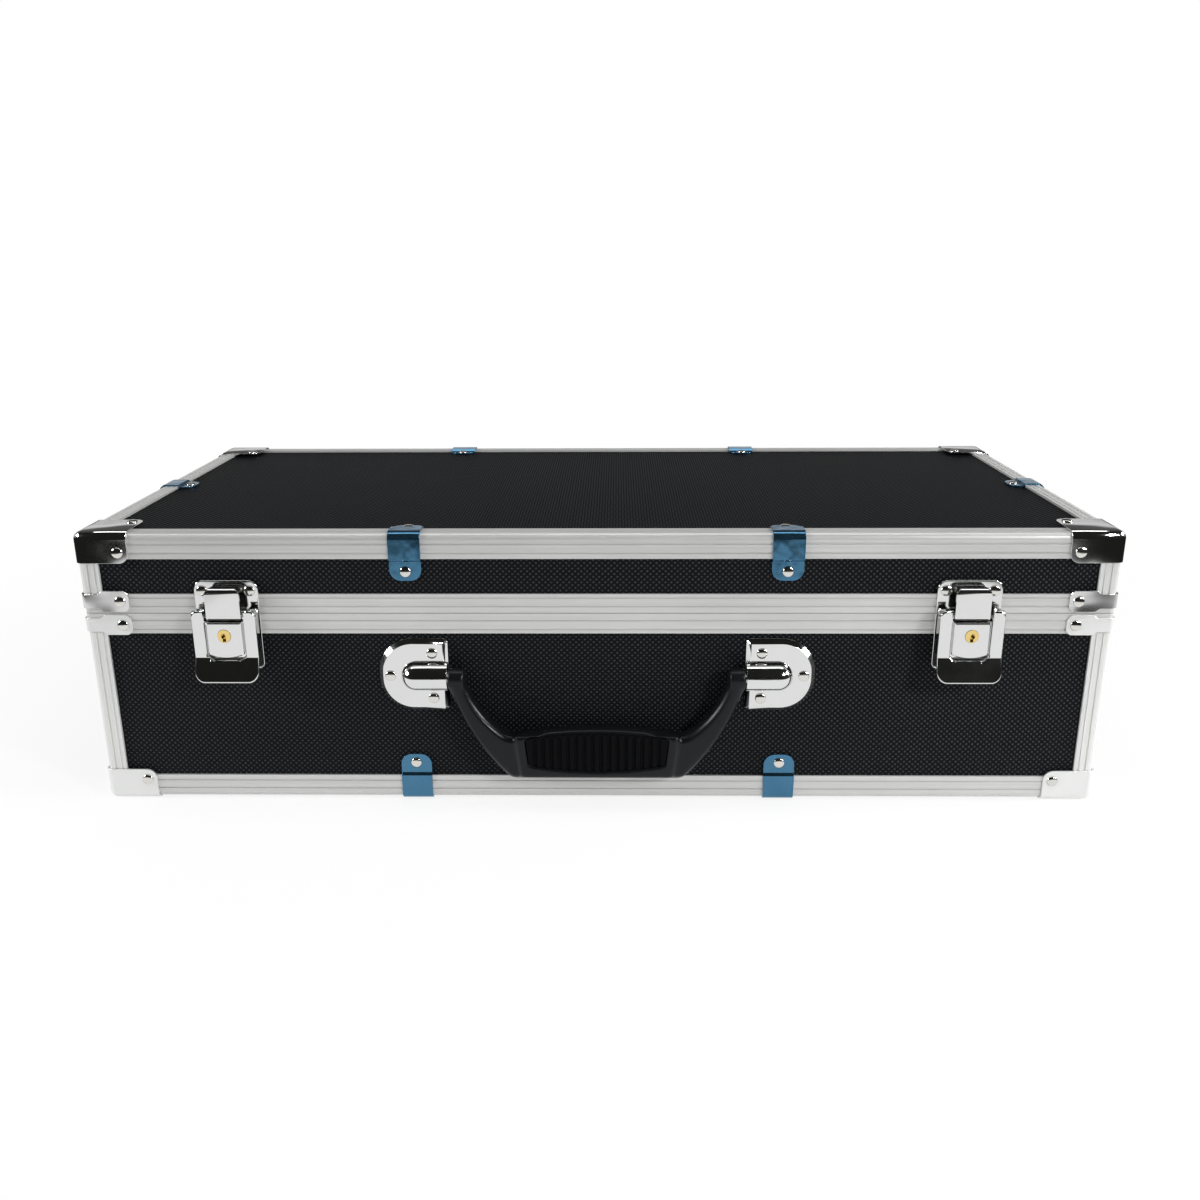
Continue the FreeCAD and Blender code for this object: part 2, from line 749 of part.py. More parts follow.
def make_clips(label, upright, trim_leg, leg):
    """Clips on the front and back edges, two each, and one on each side edge."""
    ahead = new_body(f"{label}_front_left")
    pad(ahead, "YZ_Plane", "-clip_place - clip_width/2", "clip_width",
        [clip_section(from_front, upright, trim_leg, leg)])
    beside = new_body(f"{label}_left")
    pad(beside, "XZ_Plane", "middle + clip_width/2", "clip_width",
        [clip_section(from_left, upright, trim_leg, leg)])
    for body in (ahead, beside):
        finish_edges(body, "Chamfer", "clip_corner", lambda edge: near(edge.Length, value("sheet")) and (
            lies_at(edge, z=value(upright(leg))) or lies_at(edge, y=value(from_front("clip_flat_leg")))
            or lies_at(edge, x=value(from_left("clip_flat_leg")))))
    node(label, group(label, four_ways(ahead) + two_ways(beside)))


# Rivets

RIVET_SIDES = {"front": (0, -1, 0), "back": (0, 1, 0), "left": (-1, 0, 0), "top": (0, 0, 1)}


def rivet(side, x, y, z):
    """A many-sided, tapered head seated at a place on a face that looks to the given side."""
    outline = doc.addObject("Part::RegularPolygon", f"rivet_{side}_outline")
    outline.setExpression("Polygon", cells("rivet_side_count"))
    outline.setExpression("Circumradius", cells("rivet_radius"))
    turn_to(outline, RIVET_SIDES[side], (x, y, z))
    head = doc.addObject("Part::Extrusion", f"rivet_{side}")
    head.Base = outline
    head.DirMode = "Normal"
    head.Solid = True
    head.setExpression("LengthFwd", cells("rivet_height"))
    head.setExpression("TaperAngle", cells("-rivet_taper_angle"))
    return head


def corner_rivets(reach, height):
    """Front and side rivets of a bracket that wraps a front left corner."""
    return [rivet("front", f"{reach} - half_width", "front - sheet", height),
            rivet("left", "-half_width - sheet", f"front + {reach}", height)]


def clip_rivets(height):
    """Rivets in the upright legs of a front clip and a side clip."""
    return [rivet("front", "-clip_place", "front + trim_wall - sheet", height)], \
           [rivet("left", "trim_wall - sheet - half_width", "middle", height)]


def make_rivets():
    top_inset = "(top_corner_reach - corner_rivet_inset)"
    bottom_inset = "(bottom_corner_reach - bottom_rivet_inset)"
    strap_inset = "(strap_reach - strap_rivet_inset)"
    leaf_face = "back + leaf"
    flat_rivet = "clip_flat_leg - clip_flat_rivet_inset"
    leaf_middle = "(leaf_edge + leaf_height)/2"

    lid_clip_front, lid_clip_side = clip_rivets("top - lid_clip_leg + clip_rivet_inset")
    quarter = corner_rivets(top_inset, "top - top_corner_drop + corner_rivet_rise")
    quarter += [rivet("top", f"{top_inset} - half_width", f"front + {top_inset}", "top + sheet")]
    quarter += corner_rivets(strap_inset, "lid_bottom + strap_margin + lid_strap_height/2")
    quarter += lid_clip_front
    quarter += [rivet("top", "-clip_place", f"front + {flat_rivet}", "top - trim_wall + sheet")]
    half = lid_clip_side + [rivet("top", f"{flat_rivet} - half_width", "middle", "top - trim_wall + sheet")]
    half += [rivet("front", f"-latch_place {sign} keeper_rivet_place", "front - latch_plate",
                   "parting + keeper_rivet_height") for sign in "+-"]
    half += [rivet("back", f"-hinge_place {sign} hinge_rivet_place", leaf_face,
                   f"hinge_axis + {leaf_middle}") for sign in "+-"]
    lid_quarter = group("lid_rivets_quarter", quarter)
    lid_half = group("lid_rivets_half", half)
    node("lid_rivets", group("lid_rivets", four_ways(lid_quarter) + two_ways(lid_half)))

    base_clip_front, base_clip_side = clip_rivets("sheet + base_clip_leg - clip_rivet_inset")
    quarter = corner_rivets(bottom_inset, "sheet + bottom_corner_rise - corner_rivet_rise")
    quarter += corner_rivets(strap_inset, "parting - strap_margin - base_strap_height/2")
    quarter += base_clip_front
    half = list(base_clip_side)
    plate_face = "front + trim_wall - bracket_plate"
    half += [rivet("front", "-bracket_inner - bracket_rivet_inset", plate_face,
                   f"pivot_height {sign} bracket_rivet_offset") for sign in "+-"]
    half += [rivet("front", "bracket_end_rivet_inset - bracket_outer", plate_face, "pivot_height")]
    half += [rivet("back", f"-hinge_place {sign} hinge_rivet_place", leaf_face,
                   f"hinge_axis - {leaf_middle}") for sign in "+-"]
    base_quarter = group("base_rivets_quarter", quarter)
    base_half = group("base_rivets_half", half)
    node("base_rivets", group("base_rivets", four_ways(base_quarter) + two_ways(base_half)))


# Rear hinges

def make_hinge_leaf(label, sign, zones):
    """A leaf on a rear rim with its share of the knuckles. The zones run along the hinge from its middle."""
    def height(away):
        return f"hinge_axis {sign} ({away})"

    def upright(first, last):
        pair = (height(first), height(last))
        return pair if sign == "+" else pair[::-1]
    thick = ("back", "back + leaf")
    parts = [block(f"{label}_plate", ("-hinge_place - hinge_length/2", "hinge_length/2 - hinge_place"), thick,
                   upright("leaf_edge", "leaf_height"))]
    for number, (low, high) in enumerate(zones):
        along = (f"{low} - hinge_place", f"{high} - hinge_place")
        parts.append(block(f"{label}_tab_{number}", along, thick, upright("0", "leaf_edge")))
        parts.append(bar(f"{label}_knuckle_{number}", along[0], f"{high} - ({low})",
                         "hinge_back", "hinge_axis", "barrel_radius"))
    bore = bar(f"{label}_bore", "-hinge_place - hinge_length/2 - overrun", "hinge_length + 2*overrun",
               "hinge_back", "hinge_axis", "hinge_pin_radius + pin_clearance")
    leaf = cut(f"{label}_left", fused(f"{label}_solid", parts), bore)
    node(label, group(label, two_ways(leaf)))


def make_hinges():
    inner = "(knuckle_half + knuckle_clearance)"
    make_hinge_leaf("hinge_base_leaves", "-", [("-hinge_length/2", f"-{inner}"), (inner, "hinge_length/2")])
    make_hinge_leaf("hinge_lid_leaves", "+", [("-knuckle_half", "knuckle_half")])
    pin = bar("hinge_pin_left", "-hinge_place - hinge_length/2", "hinge_length", "hinge_back", "hinge_axis",
              "hinge_pin_radius")
    node("hinge_pins", group("hinge_pins", two_ways(pin)))


# Handle

def out(away):
    """The y of a place that far out from the front trim."""
    return f"front - ({away})"


def make_handle_bracket():
    """A bevelled D-shaped plate with a half-round housing that takes the handle's pin."""
    body = new_body("handle_bracket_left")
    pad(body, "XZ_Plane", "front + trim_wall", "bracket_plate", [[
        ("-bracket_inner", "pivot_height - bracket_half_height", "bracket_side_round"),
        ("-bracket_inner", "pivot_height + bracket_half_height", "bracket_side_round"),
        ("-bracket_outer", "pivot_height + bracket_half_height", "bracket_end_round"),
        ("-bracket_outer", "pivot_height - bracket_half_height", "bracket_end_round"),
    ]])
    face = value("front + trim_wall - bracket_plate")
    inner = value("-bracket_inner")
    side = value("bracket_side_round")
    finish_edges(body, "Chamfer", "bracket_bevel", lambda edge: (
        lies_at(edge, y=face) and span(edge, "x")[0] < inner - side - TOLERANCE))
    dome = body.newObject("PartDesign::Revolution", "handle_bracket_dome")
    tip = "-bracket_inner - dome_length"
    profile = sketch_on(body, "XZ_Plane", "front + trim_wall - bracket_plate", [[
        ("-bracket_inner", "0"), ("-bracket_inner", "dome_radius"),
        (f"{tip} + dome_radius", "dome_radius", "dome_radius", f"{tip} + dome_radius", "0"), (tip, "0"),
    ]], rise="pivot_height")
    dome.Profile = profile
    dome.ReferenceAxis = (profile, ["H_Axis"])
    dome.Angle = HALF_TURN
    doc.recompute()
    if body.Shape.BoundBox.YMin > face - value("dome_radius") / 2:
        dome.Reversed = not dome.Reversed
        doc.recompute()
    pocket(body, "YZ_Plane", "-bracket_inner", "pin_in_bracket", circles=[
        (out("pivot_out"), "pivot_height", "handle_pin_radius + pin_clearance")])
    node("handle_brackets", group("handle_brackets", two_ways(body)))
    pin = bar("handle_pin_left", "-bracket_inner - pin_in_bracket",
              "pin_in_bracket + handle_clearance + pin_in_arm", out("pivot_out"), "pivot_height",
              "handle_pin_radius")
    node("handle_pins", group("handle_pins", two_ways(pin)))


def bow_outline():
    """The handle from the front: curved arms down to a grip with a crowned top."""
    middle = ("0", "pivot_height")
    return [
        ("arm_outer", "pivot_height", "arm_outer_bend", *middle), ("bow_bottom_half", "bow_bottom"),
        ("-bow_bottom_half", "bow_bottom", "arm_outer_bend", *middle), ("-arm_outer", "pivot_height"),
        ("-arm_inner", "pivot_height", "arm_inner_bend", *middle),
        ("-grip_top_half", "grip_top", "grip_crown_bend", "0", "bow_bottom - grip_crown_bend"),
        ("grip_top_half", "grip_top", "arm_inner_bend", *middle), ("arm_inner", "pivot_height"),
    ]


def pad_outline(grown):
    """The ribbed pad from the front, with a crowned top and a sagging bottom, larger by a clearance."""
    top, low = f"pad_top + {grown}", f"pad_bottom - {grown}"
    wide, narrow = f"(pad_half + {grown})", f"(pad_half - pad_slant + {grown})"
    return [
        (f"-{wide}", top, "pad_top_bend", "0", "pad_top - pad_top_bend"), (wide, top),
        (narrow, low, "pad_bottom_bend", "0", "pad_bottom + pad_bottom_bend"), (f"-{narrow}", low),
    ]


def make_handle():
    """A moulded bow with round pivot ends, a thicker grip and a recess for the ribbed pad."""
    bow = new_body("handle_bow")
    pad(bow, "XZ_Plane", out("bow_out - bow_thickness"), "bow_thickness", [bow_outline()])
    foot, seat = value("bow_bottom"), value("grip_top")
    half_foot, half_seat = value("bow_bottom_half"), value("grip_top_half")
    finish_edges(bow, "Fillet", "bow_corner", lambda edge: any(
        lies_at(edge, x=side * half, z=height) for side in (-1, 1)
        for half, height in ((half_foot, foot), (half_seat, seat))))
    front_face, back_face = value(out("bow_out")), value(out("bow_out - bow_thickness"))
    pivot = value("pivot_height")
    finish_edges(bow, "Chamfer", "bow_bevel", lambda edge: not lies_at(edge, z=pivot) and (
        lies_at(edge, y=front_face) or lies_at(edge, y=back_face)))
    for low, high in (("-arm_outer", "-arm_inner"), ("arm_inner", "arm_outer")):
        pad(bow, "YZ_Plane", low, f"({high}) - ({low})", circles=[
            (out("pivot_out"), "pivot_height", "bow_thickness/2")])
    low, high = "bow_bottom + grip_margin", "grip_top + grip_margin"
    pad(bow, "XZ_Plane", out("bow_out - grip_bulge"), "2*grip_bulge", [[
        ("grip_slant - grip_half", low), ("grip_half - grip_slant", low),
        ("grip_half", high), ("-grip_half", high),
    ]])
    grip_face = value(out("grip_out"))
    finish_edges(bow, "Chamfer", "grip_bulge/2", lambda edge: lies_at(edge, y=grip_face))
    pocket(bow, "XZ_Plane", out("grip_out"), "pad_base + rib_height", [pad_outline("pad_clearance")])
    for low_end in ("-arm_outer + pin_in_arm", "arm_outer"):
        pocket(bow, "YZ_Plane", low_end, "pin_in_arm", circles=[
            (out("pivot_out"), "pivot_height", "handle_pin_radius + pin_clearance")])
    node("handle_bow", bow)

    ribbed = new_body("handle_grip_pad")
    pad(ribbed, "XZ_Plane", out("pad_back"), "pad_base + rib_height", [pad_outline("0")])
    first = "-rib_pitch*(rib_gap_count - 1)/2"
    half_gap = "(rib_pitch - rib_width)/2"
    gap = pocket(ribbed, "XZ_Plane", out("grip_out"), "rib_height", [rectangle(
        f"{first} - {half_gap}", f"{first} + {half_gap}", "bow_bottom", "pivot_height")])
    doc.recompute()
    row = ribbed.newObject("PartDesign::LinearPattern", "handle_grip_ribs")
    row.Originals = [gap]
    row.Direction = (gap.Profile[0], ["H_Axis"])
    row.setExpression("Length", cells("rib_pitch*(rib_gap_count - 1)"))
    row.setExpression("Occurrences", cells("rib_gap_count"))
    ribbed.Tip = row
    node("handle_grip_pad", ribbed)


# Latches

def up(height):
    """The z of a place that far above the parting plane."""
    return f"parting + ({height})"


def beside(away):
    """The x of a place that far to the right of the left latch's middle."""
    return f"({away}) - latch_place"


def side_points(points):
    """Points of a latch's side view, given as (out from the trim, above the parting plane)."""
    return [(out(point[0]), up(point[1]), *point[2:]) for point in points]


def latch_waste(half, height, radius, inward):
    """Corner cuts on both sides of a latch piece, in the front view."""
    return [corner_waste(beside(f"-({half})"), up(height), radius, "+", inward),
            corner_waste(beside(half), up(height), radius, "-", inward)]


def make_lever():
    """The lever: a folded plate with a window, side walls, inner flanges and a flared lip."""
    body = new_body("latch_lever_left")
    pad(body, "YZ_Plane", beside("-latch_half"), "latch_width", [side_points([
        ("lever_back", "lever_rise"), ("lever_out", "lever_rise"), ("lever_out", "-lever_bend_drop"),
        ("lever_out + lip_flare", "-lever_bottom_drop"), ("lever_back + lip_flare", "-lever_bottom_drop"),
        ("lever_back", "-lever_bend_drop"),
    ])])
    pocket(body, "XZ_Plane", out("lever_out + lip_flare"), "lip_flare + 2*lever_wall", [[
        (beside("-window_half"), up("lever_rise + overrun")),
        (beside("window_half"), up("lever_rise + overrun")),
        (beside("window_half"), up("-window_drop"), "window_round"),
        (beside("-window_half"), up("-window_drop"), "window_round"),
    ]])
    wall = side_points(rectangle("wall_back", "lever_back", "-lever_wall_drop", "lever_rise"))
    flange = side_points(rectangle("wall_back", "lever_back", "-lever_wall_drop", "flange_height"))
    for low in ("-latch_half", "wall_in"):
        pad(body, "YZ_Plane", beside(low), "lever_wall", [wall])
    for low in ("-flange_out", "window_half"):
        pad(body, "YZ_Plane", beside(low), "lever_wall", [flange])
    pocket(body, "YZ_Plane", beside("latch_half"), "latch_width", circles=[
        (out("lever_pivot_out"), up("lever_pivot_height"), "lever_pin_radius + pin_clearance")])
    pocket(body, "YZ_Plane", beside("flange_out"), "2*flange_out", circles=[
        (out("lever_pivot_out"), up("hasp_pivot_height"), "hasp_pin_radius + pin_clearance")])
    depth = "lever_out + lip_flare"
    pocket(body, "XZ_Plane", out(depth), depth,
           latch_waste("latch_half", "lever_rise", "lever_shoulder_round", "-"))
    pocket(body, "XZ_Plane", out(depth), depth,
           latch_waste("latch_half", "-lever_bottom_drop", "lever_bottom_round", "+"))
    return body


def make_lock_case():
    """The lock's front case, on a flange that spans the lever's window."""
    body = new_body("latch_lock_case_left")
    pad(body, "XZ_Plane", out("plug_back"), "lock_flange", [rectangle(
        beside("-window_half"), beside("window_half"), up("-lock_flange_drop"), up("-lock_top_drop"))])
    pad(body, "XZ_Plane", out("lock_back"), "lock_depth", [[
        (beside("-lock_half"), up("-lock_top_drop")), (beside("lock_half"), up("-lock_top_drop")),
        (beside("lock_half"), up("-lock_side_drop"), "lock_bottom_bend", beside("0"), up("0")),
        (beside("-lock_half"), up("-lock_side_drop")),
    ]])
    face = value(out("lock_out"))
    finish_edges(body, "Chamfer", "lock_edge", lambda edge: lies_at(edge, y=face))
    pocket(body, "XZ_Plane", out("lock_out"), "lock_depth + lock_flange", circles=[
        (beside("0"), up("-plug_drop"), "plug_radius + pin_clearance")])
    return body


def make_hasp():
    """The hasp: an eye round its pin, a flat tab, and a claw that lies over the keeper's ledge."""
    body = new_body("latch_hasp_left")
    pad(body, "YZ_Plane", beside("-hasp_half"), "2*hasp_half", [side_points([
        ("hasp_in", "hasp_pivot_height"), ("hasp_out", "hasp_pivot_height"),
        ("hasp_out", "claw_top", "claw_bend"), ("claw_back", "claw_top"), ("claw_back", "claw_bottom"),
        ("hasp_in", "claw_bottom"),
    ])])
    pad(body, "YZ_Plane", beside("-hasp_half"), "2*hasp_half", circles=[
        (out("lever_pivot_out"), up("hasp_pivot_height"), "hasp_eye_radius")])
    pocket(body, "YZ_Plane", beside("hasp_half"), "2*hasp_half", circles=[
        (out("lever_pivot_out"), up("hasp_pivot_height"), "hasp_pin_radius + pin_clearance")])
    pocket(body, "XZ_Plane", out("hasp_out"), "hasp_out",
           latch_waste("hasp_half", "claw_top", "hasp_corner", "-"))
    return body


def make_lock_plug():
    """The brass plug with its keyhole and, behind it, the cam that the key turns."""
    body = new_body("lock_plug_left")
    middle = up("-plug_drop")
    pad(body, "XZ_Plane", out("plug_back"), "lock_depth + lock_flange + plug_proud", circles=[
        (beside("0"), middle, "plug_radius")])
    pad(body, "XZ_Plane", out("plug_back - cam_depth"), "cam_depth", [rectangle(
        beside("-cam_width/2"), beside("cam_width/2"), f"{middle} - cam_reach", f"{middle} + cam_width/2")])
    face = out("lock_out + plug_proud")
    pocket(body, "XZ_Plane", face, "keyhole_depth", circles=[(beside("0"), middle, "keyhole_radius")])
    pocket(body, "XZ_Plane", face, "keyhole_depth", [rectangle(
        beside("-keyhole_width/2"), beside("keyhole_width/2"), f"{middle} - keyhole_drop", middle)])
    return body


def make_latch_base():
    """The plate on the base, with an ear on each side for the lever's pins."""
    body = new_body("latch_base_left")
    pad(body, "XZ_Plane", "front", "latch_plate", [[
        (beside("-latch_half"), up("-base_plate_drop"), "plate_corner"),
        (beside("latch_half"), up("-base_plate_drop"), "plate_corner"),
        (beside("latch_half"), up("0")), (beside("-latch_half"), up("0")),
    ]])
    reach = "lever_pivot_out + ear_radius"
    ear = side_points([
        ("latch_plate", "0"), ("2*latch_plate", "0"), ("lever_pivot_out - ear_radius", "lever_pivot_height"),
        ("lever_pivot_out - ear_radius", "lever_pivot_height + ear_radius", "ear_radius*ear_round_share"),
        (reach, "lever_pivot_height + ear_radius", "ear_radius*ear_round_share"), (reach, "0"),
        ("latch_plate", "-ear_foot_drop"),
    ])
    for low in ("-ear_out", "ear_out - ear_wall"):
        pad(body, "YZ_Plane", beside(low), "ear_wall", [ear])
    pocket(body, "YZ_Plane", beside("latch_half"), "latch_width", circles=[
        (out("lever_pivot_out"), up("lever_pivot_height"), "lever_pin_radius + pin_clearance")])
    return body


def make_keeper():
    """The plate on the lid with the ledge that the hasp holds down."""
    body = new_body("latch_keeper_left")
    pad(body, "XZ_Plane", "front", "latch_plate", [[
        (beside("-latch_half"), "lid_bottom"), (beside("latch_half"), "lid_bottom"),
        (beside("latch_half"), up("keeper_height"), "keeper_corner"),
        (beside("-latch_half"), up("keeper_height"), "keeper_corner"),
    ]])
    pad(body, "XZ_Plane", "front", "ledge_out", [rectangle(
        beside("-ledge_half"), beside("ledge_half"), up("ledge_height"), up("ledge_top"))])
    return body


def make_latches():
    """Both latches: the left one, and its mirror image on the right."""
    pieces = {
        "latch_lever": make_lever(),
        "latch_lock_case": make_lock_case(),
        "latch_hasp": make_hasp(),
        "lock_plug": make_lock_plug(),
        "latch_hasp_pin": bar("latch_hasp_pin_left", beside("-flange_out"), "2*flange_out",
                              out("lever_pivot_out"), up("hasp_pivot_height"), "hasp_pin_radius"),
    }
    for name, piece in pieces.items():
        node(f"{name}_left", piece)
        node(f"{name}_right", mirrored(piece, "x"))
    node("latch_base_plates", group("latch_base_plates", two_ways(make_latch_base())))
    node("latch_keepers", group("latch_keepers", two_ways(make_keeper())))
    length = "latch_half - ear_out + ear_wall"
    stubs = [bar(f"lever_pin_{number}", beside(low), length, out("lever_pivot_out"), up("lever_pivot_height"),
                 "lever_pin_radius") for number, low in enumerate(("-latch_half", "ear_out - ear_wall"))]
    pair = group("lever_pins_left", stubs)
    node("latch_lever_pins", group("latch_lever_pins", two_ways(pair)))


# The whole case

def build():
    def from_top(away):
        return f"top - ({away})"

    def from_bottom(away):
        return f"sheet + ({away})"

    def from_lid_bottom(away):
        return f"lid_bottom + ({away})"

    make_boards()
    make_edges("lid_top_edge", from_top, "lid_edge_leg")
    make_edges("base_bottom_edge", from_bottom, "base_edge_leg")
    make_posts("lid_corner_posts", "lid_bottom + lid_rim_leg", "top - trim_round")
    make_posts("base_corner_posts", "sheet + trim_round", "parting - base_rim_leg")
    make_rims("base_rim", base_rim_section, up, "parting + tongue_height")
    make_rims("lid_rim", lid_rim_section, from_lid_bottom, "lid_bottom + lid_rim_leg")
    make_lining("base_lining", "sheet + core", "parting - rim_web", "sheet + core + lining",
                "parting - rim_web + overrun")
    lip = "parting + tongue_height + lining_clearance"
    make_lining("lid_lining", lip, "top - core", f"{lip} - overrun", "top - core - lining")
    make_pressed_corners("lid_top_corners", "top - top_corner_drop", "top + sheet", "top + sheet",
                         "top_corner_reach")
    make_pressed_corners("base_bottom_corners", "0", "sheet + bottom_corner_rise", "0", "bottom_corner_reach")
    make_straps("lid_rim_corners", "lid_bottom + strap_margin",
                "lid_bottom + strap_margin + lid_strap_height")
    make_straps("base_rim_corners", "parting - strap_margin - base_strap_height", "parting - strap_margin")
    make_clips("lid_edge_clips", from_top, "lid_edge_leg", "lid_clip_leg")
    make_clips("base_edge_clips", from_bottom, "base_edge_leg", "base_clip_leg")
    make_rivets()
    make_hinges()
    make_handle_bracket()
    make_handle()
    make_latches()


def check():
    """Stop if any object failed, any piece is unsound or any cut removed nothing."""
    doc.recompute()
    for item in doc.Objects:
        if "Invalid" in item.State or "Error" in item.State:
            raise RuntimeError(f"{item.Label} failed: {item.State}")
    for item in pockets:
        if item.BaseFeature.Shape.Volume - item.Shape.Volume < TOLERANCE:
            raise RuntimeError(f"{item.Label} removes nothing")
    for label, item in nodes.items():
        if item.Shape.isNull() or not item.Shape.isValid() or not item.Shape.Solids:
            raise RuntimeError(f"{label} has no sound solid")


def write():
    os.makedirs("parts", exist_ok=True)
    for label, item in nodes.items():
        solids = item.Shape.Solids
        shape = solids[0] if len(solids) == 1 else Part.makeCompound(solids)
        shape.exportStep(f"parts/{label}.step")
    print(len(nodes), "pieces,", sum(len(item.Shape.Solids) for item in nodes.values()), "solids")


build()
check()
write()
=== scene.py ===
import json
import math

import bmesh
import bpy
from mathutils import Matrix, Vector

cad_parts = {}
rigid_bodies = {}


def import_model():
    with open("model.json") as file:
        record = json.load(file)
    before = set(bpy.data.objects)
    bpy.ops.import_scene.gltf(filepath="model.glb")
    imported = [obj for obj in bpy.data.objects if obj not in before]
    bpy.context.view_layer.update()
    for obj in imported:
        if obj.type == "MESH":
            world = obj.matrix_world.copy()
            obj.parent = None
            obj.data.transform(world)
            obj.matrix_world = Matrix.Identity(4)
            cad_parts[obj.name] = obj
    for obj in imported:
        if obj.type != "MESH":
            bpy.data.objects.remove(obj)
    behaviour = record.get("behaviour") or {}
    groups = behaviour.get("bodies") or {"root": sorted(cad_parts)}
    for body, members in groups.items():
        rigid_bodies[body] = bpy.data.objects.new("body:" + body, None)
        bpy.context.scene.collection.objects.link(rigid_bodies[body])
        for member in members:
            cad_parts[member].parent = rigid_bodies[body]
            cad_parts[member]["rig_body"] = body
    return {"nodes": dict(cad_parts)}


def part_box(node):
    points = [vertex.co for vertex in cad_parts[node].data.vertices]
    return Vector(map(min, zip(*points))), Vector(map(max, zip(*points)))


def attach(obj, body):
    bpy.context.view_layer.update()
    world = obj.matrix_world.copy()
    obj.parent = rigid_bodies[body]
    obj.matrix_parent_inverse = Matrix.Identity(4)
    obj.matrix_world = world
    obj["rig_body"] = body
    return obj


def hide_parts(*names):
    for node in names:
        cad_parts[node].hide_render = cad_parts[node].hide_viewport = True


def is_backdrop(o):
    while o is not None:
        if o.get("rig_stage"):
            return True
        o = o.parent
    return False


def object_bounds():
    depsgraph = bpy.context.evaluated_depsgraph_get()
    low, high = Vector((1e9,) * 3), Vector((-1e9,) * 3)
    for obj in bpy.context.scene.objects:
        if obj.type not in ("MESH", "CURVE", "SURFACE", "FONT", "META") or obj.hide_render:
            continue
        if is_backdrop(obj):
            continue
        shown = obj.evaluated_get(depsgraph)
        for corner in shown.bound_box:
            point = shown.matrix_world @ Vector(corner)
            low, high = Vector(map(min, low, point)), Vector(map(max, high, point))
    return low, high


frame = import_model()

CAD_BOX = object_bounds()
NODES = frame["nodes"]
AXIS_INDEX = {"x": 0, "y": 1, "z": 2}
MM = 0.001

# Camera fitted to the photograph, in metres, radians and pixels of its square frame
FRAME_PIXELS = 1200
FOCAL_PIXELS = 1129.25
CAMERA_PLACE = Vector((0.01004, -0.63019, 0.27101))
CAMERA_PITCH = 0.3079
CAMERA_YAW = -0.016
CAMERA_ROLL = -0.00493
SENSOR_WIDTH = 36.0
CLIP_START = 0.01

# Boards: pitch and height of the dots that stand out of the skin, the darkest and lightest colours between
# them, and the lighter colours on them, which are a painted highlight on the dots
DOT_PITCH_ALONG = 2.88 * MM
DOT_PITCH_UP = 2.77 * MM
DOT_HEIGHT = 0.37 * MM
GROUND_COLOURS = (0.0014, 0.0019, 0.0028), (0.0024, 0.0031, 0.0045)
DOT_HIGHLIGHT_COLOURS = (0.031, 0.033, 0.037), (0.043, 0.045, 0.049)

# Edging: colours of the drawn lines, their density across and along the extrusion, and their depth
TRIM_COLOURS = (0.42, 0.42, 0.412), (0.78, 0.78, 0.766)
LINES_ACROSS = 900.0
LINES_ALONG = 6.0
LINE_DEPTH = 0.05 * MM

# Plated metal: how much darker its smudges are, and density and depth of its scratches
SMUDGE_SHARE = 0.93
SCRATCH_DENSITY = (2600.0, 500.0, 260.0)
SCRATCH_DEPTH = 0.0012 * MM

# Crown of pressed corners and straps: the middle of the case in y, the middles of the corners from there,
# and the curvatures per metre
CASE_MIDDLE_Y = 3.75 * MM
CORNER_MIDDLE = {"x": 238.0 * MM, "y": 105.0 * MM}
CORNER_CURVATURE = 26.0
STRAP_CURVATURE = 45.0

# Blue film and flock: darkest and lightest colours, and the depth of wrinkles and pile
FILM_COLOURS = (0.044, 0.138, 0.240), (0.086, 0.228, 0.355)
WRINKLE_DEPTH = 0.45 * MM
FLOCK_COLOURS = (0.014, 0.014, 0.015), (0.060, 0.060, 0.064)
PILE_DEPTH = 0.25 * MM

# Work meshes: distance of vertices that are one, angle between faces that are one, angle of a sharp edge
WELD_DISTANCE = 1e-6
FLAT_ANGLE = math.radians(0.5)
SHARP_ANGLE = math.radians(50)

# Rivet heads: steps of their domes, height of their rims, and how far out the vertices of their wide end lie
RIVET_RINGS = 6
RIVET_SIDES = 24
RIVET_RIM_SHARE = 0.18
RIVET_WIDE_SHARE = 0.9

# Rounded edges: angles of the slightest fold and of the slightest edge that is rounded, lengths under which
# edges are joined into one, the length under which they are too fine to round, how far the ends of an edge
# may lie from a fold's height, and the normals that count as front
FOLD_ANGLE = math.radians(14)
ROUND_ANGLE = math.radians(30)
JOINED_EDGE = 0.16 * MM
STRAP_JOINED_EDGE = 0.2 * MM
FINE_EDGE = 0.3 * MM
LEVEL_TOLERANCE = 0.05 * MM
FRONT_NORMAL_Y = -0.8

# Sheet metal: thickness, width of its rounded edges, and angles and steps of its bevelled corners
SHEET = 0.9 * MM
SHEET_TOLERANCE = 0.02 * MM
SHEET_EDGE = 0.15 * MM
SHEET_CORNER_ANGLES = math.radians(40), math.radians(50)
SHEET_CORNER_STEPS = 4

# Moulded bow: grain of its work mesh, strength of its smoothing, and share of the faces that is kept
BOW_VOXEL = 0.7 * MM
BOW_SMOOTHING = 0.5
BOW_SMOOTHING_STEPS = 18
BOW_FACES_SHARE = 0.35

# Linings: wall, inner curve, outer round, and the rise of the soft floor with its steps as
# (distance from the curve, share of the rise)
LINING_WALL = 3.0 * MM
LINING_CURVE = 6.0 * MM
LINING_OUTER_ROUND = 1.0 * MM
LINING_CROWN = 0.8 * MM
LINING_RISES = (30 * MM, 0.6), (80 * MM, 1.0)
LINING_STEPS = 5

# Floor: colours, half its size, cells, and distances over which its own shading gives way to plain white
FLOOR_COLOURS = (0.90, 0.90, 0.90), (0.93, 0.93, 0.93)
FLOOR_HALF_SIZE = 6.0
FLOOR_CELLS = 8
SHADOW_FADE = (0.25, 0.65)
WHITE_SHARES = (0.80, 1.0)

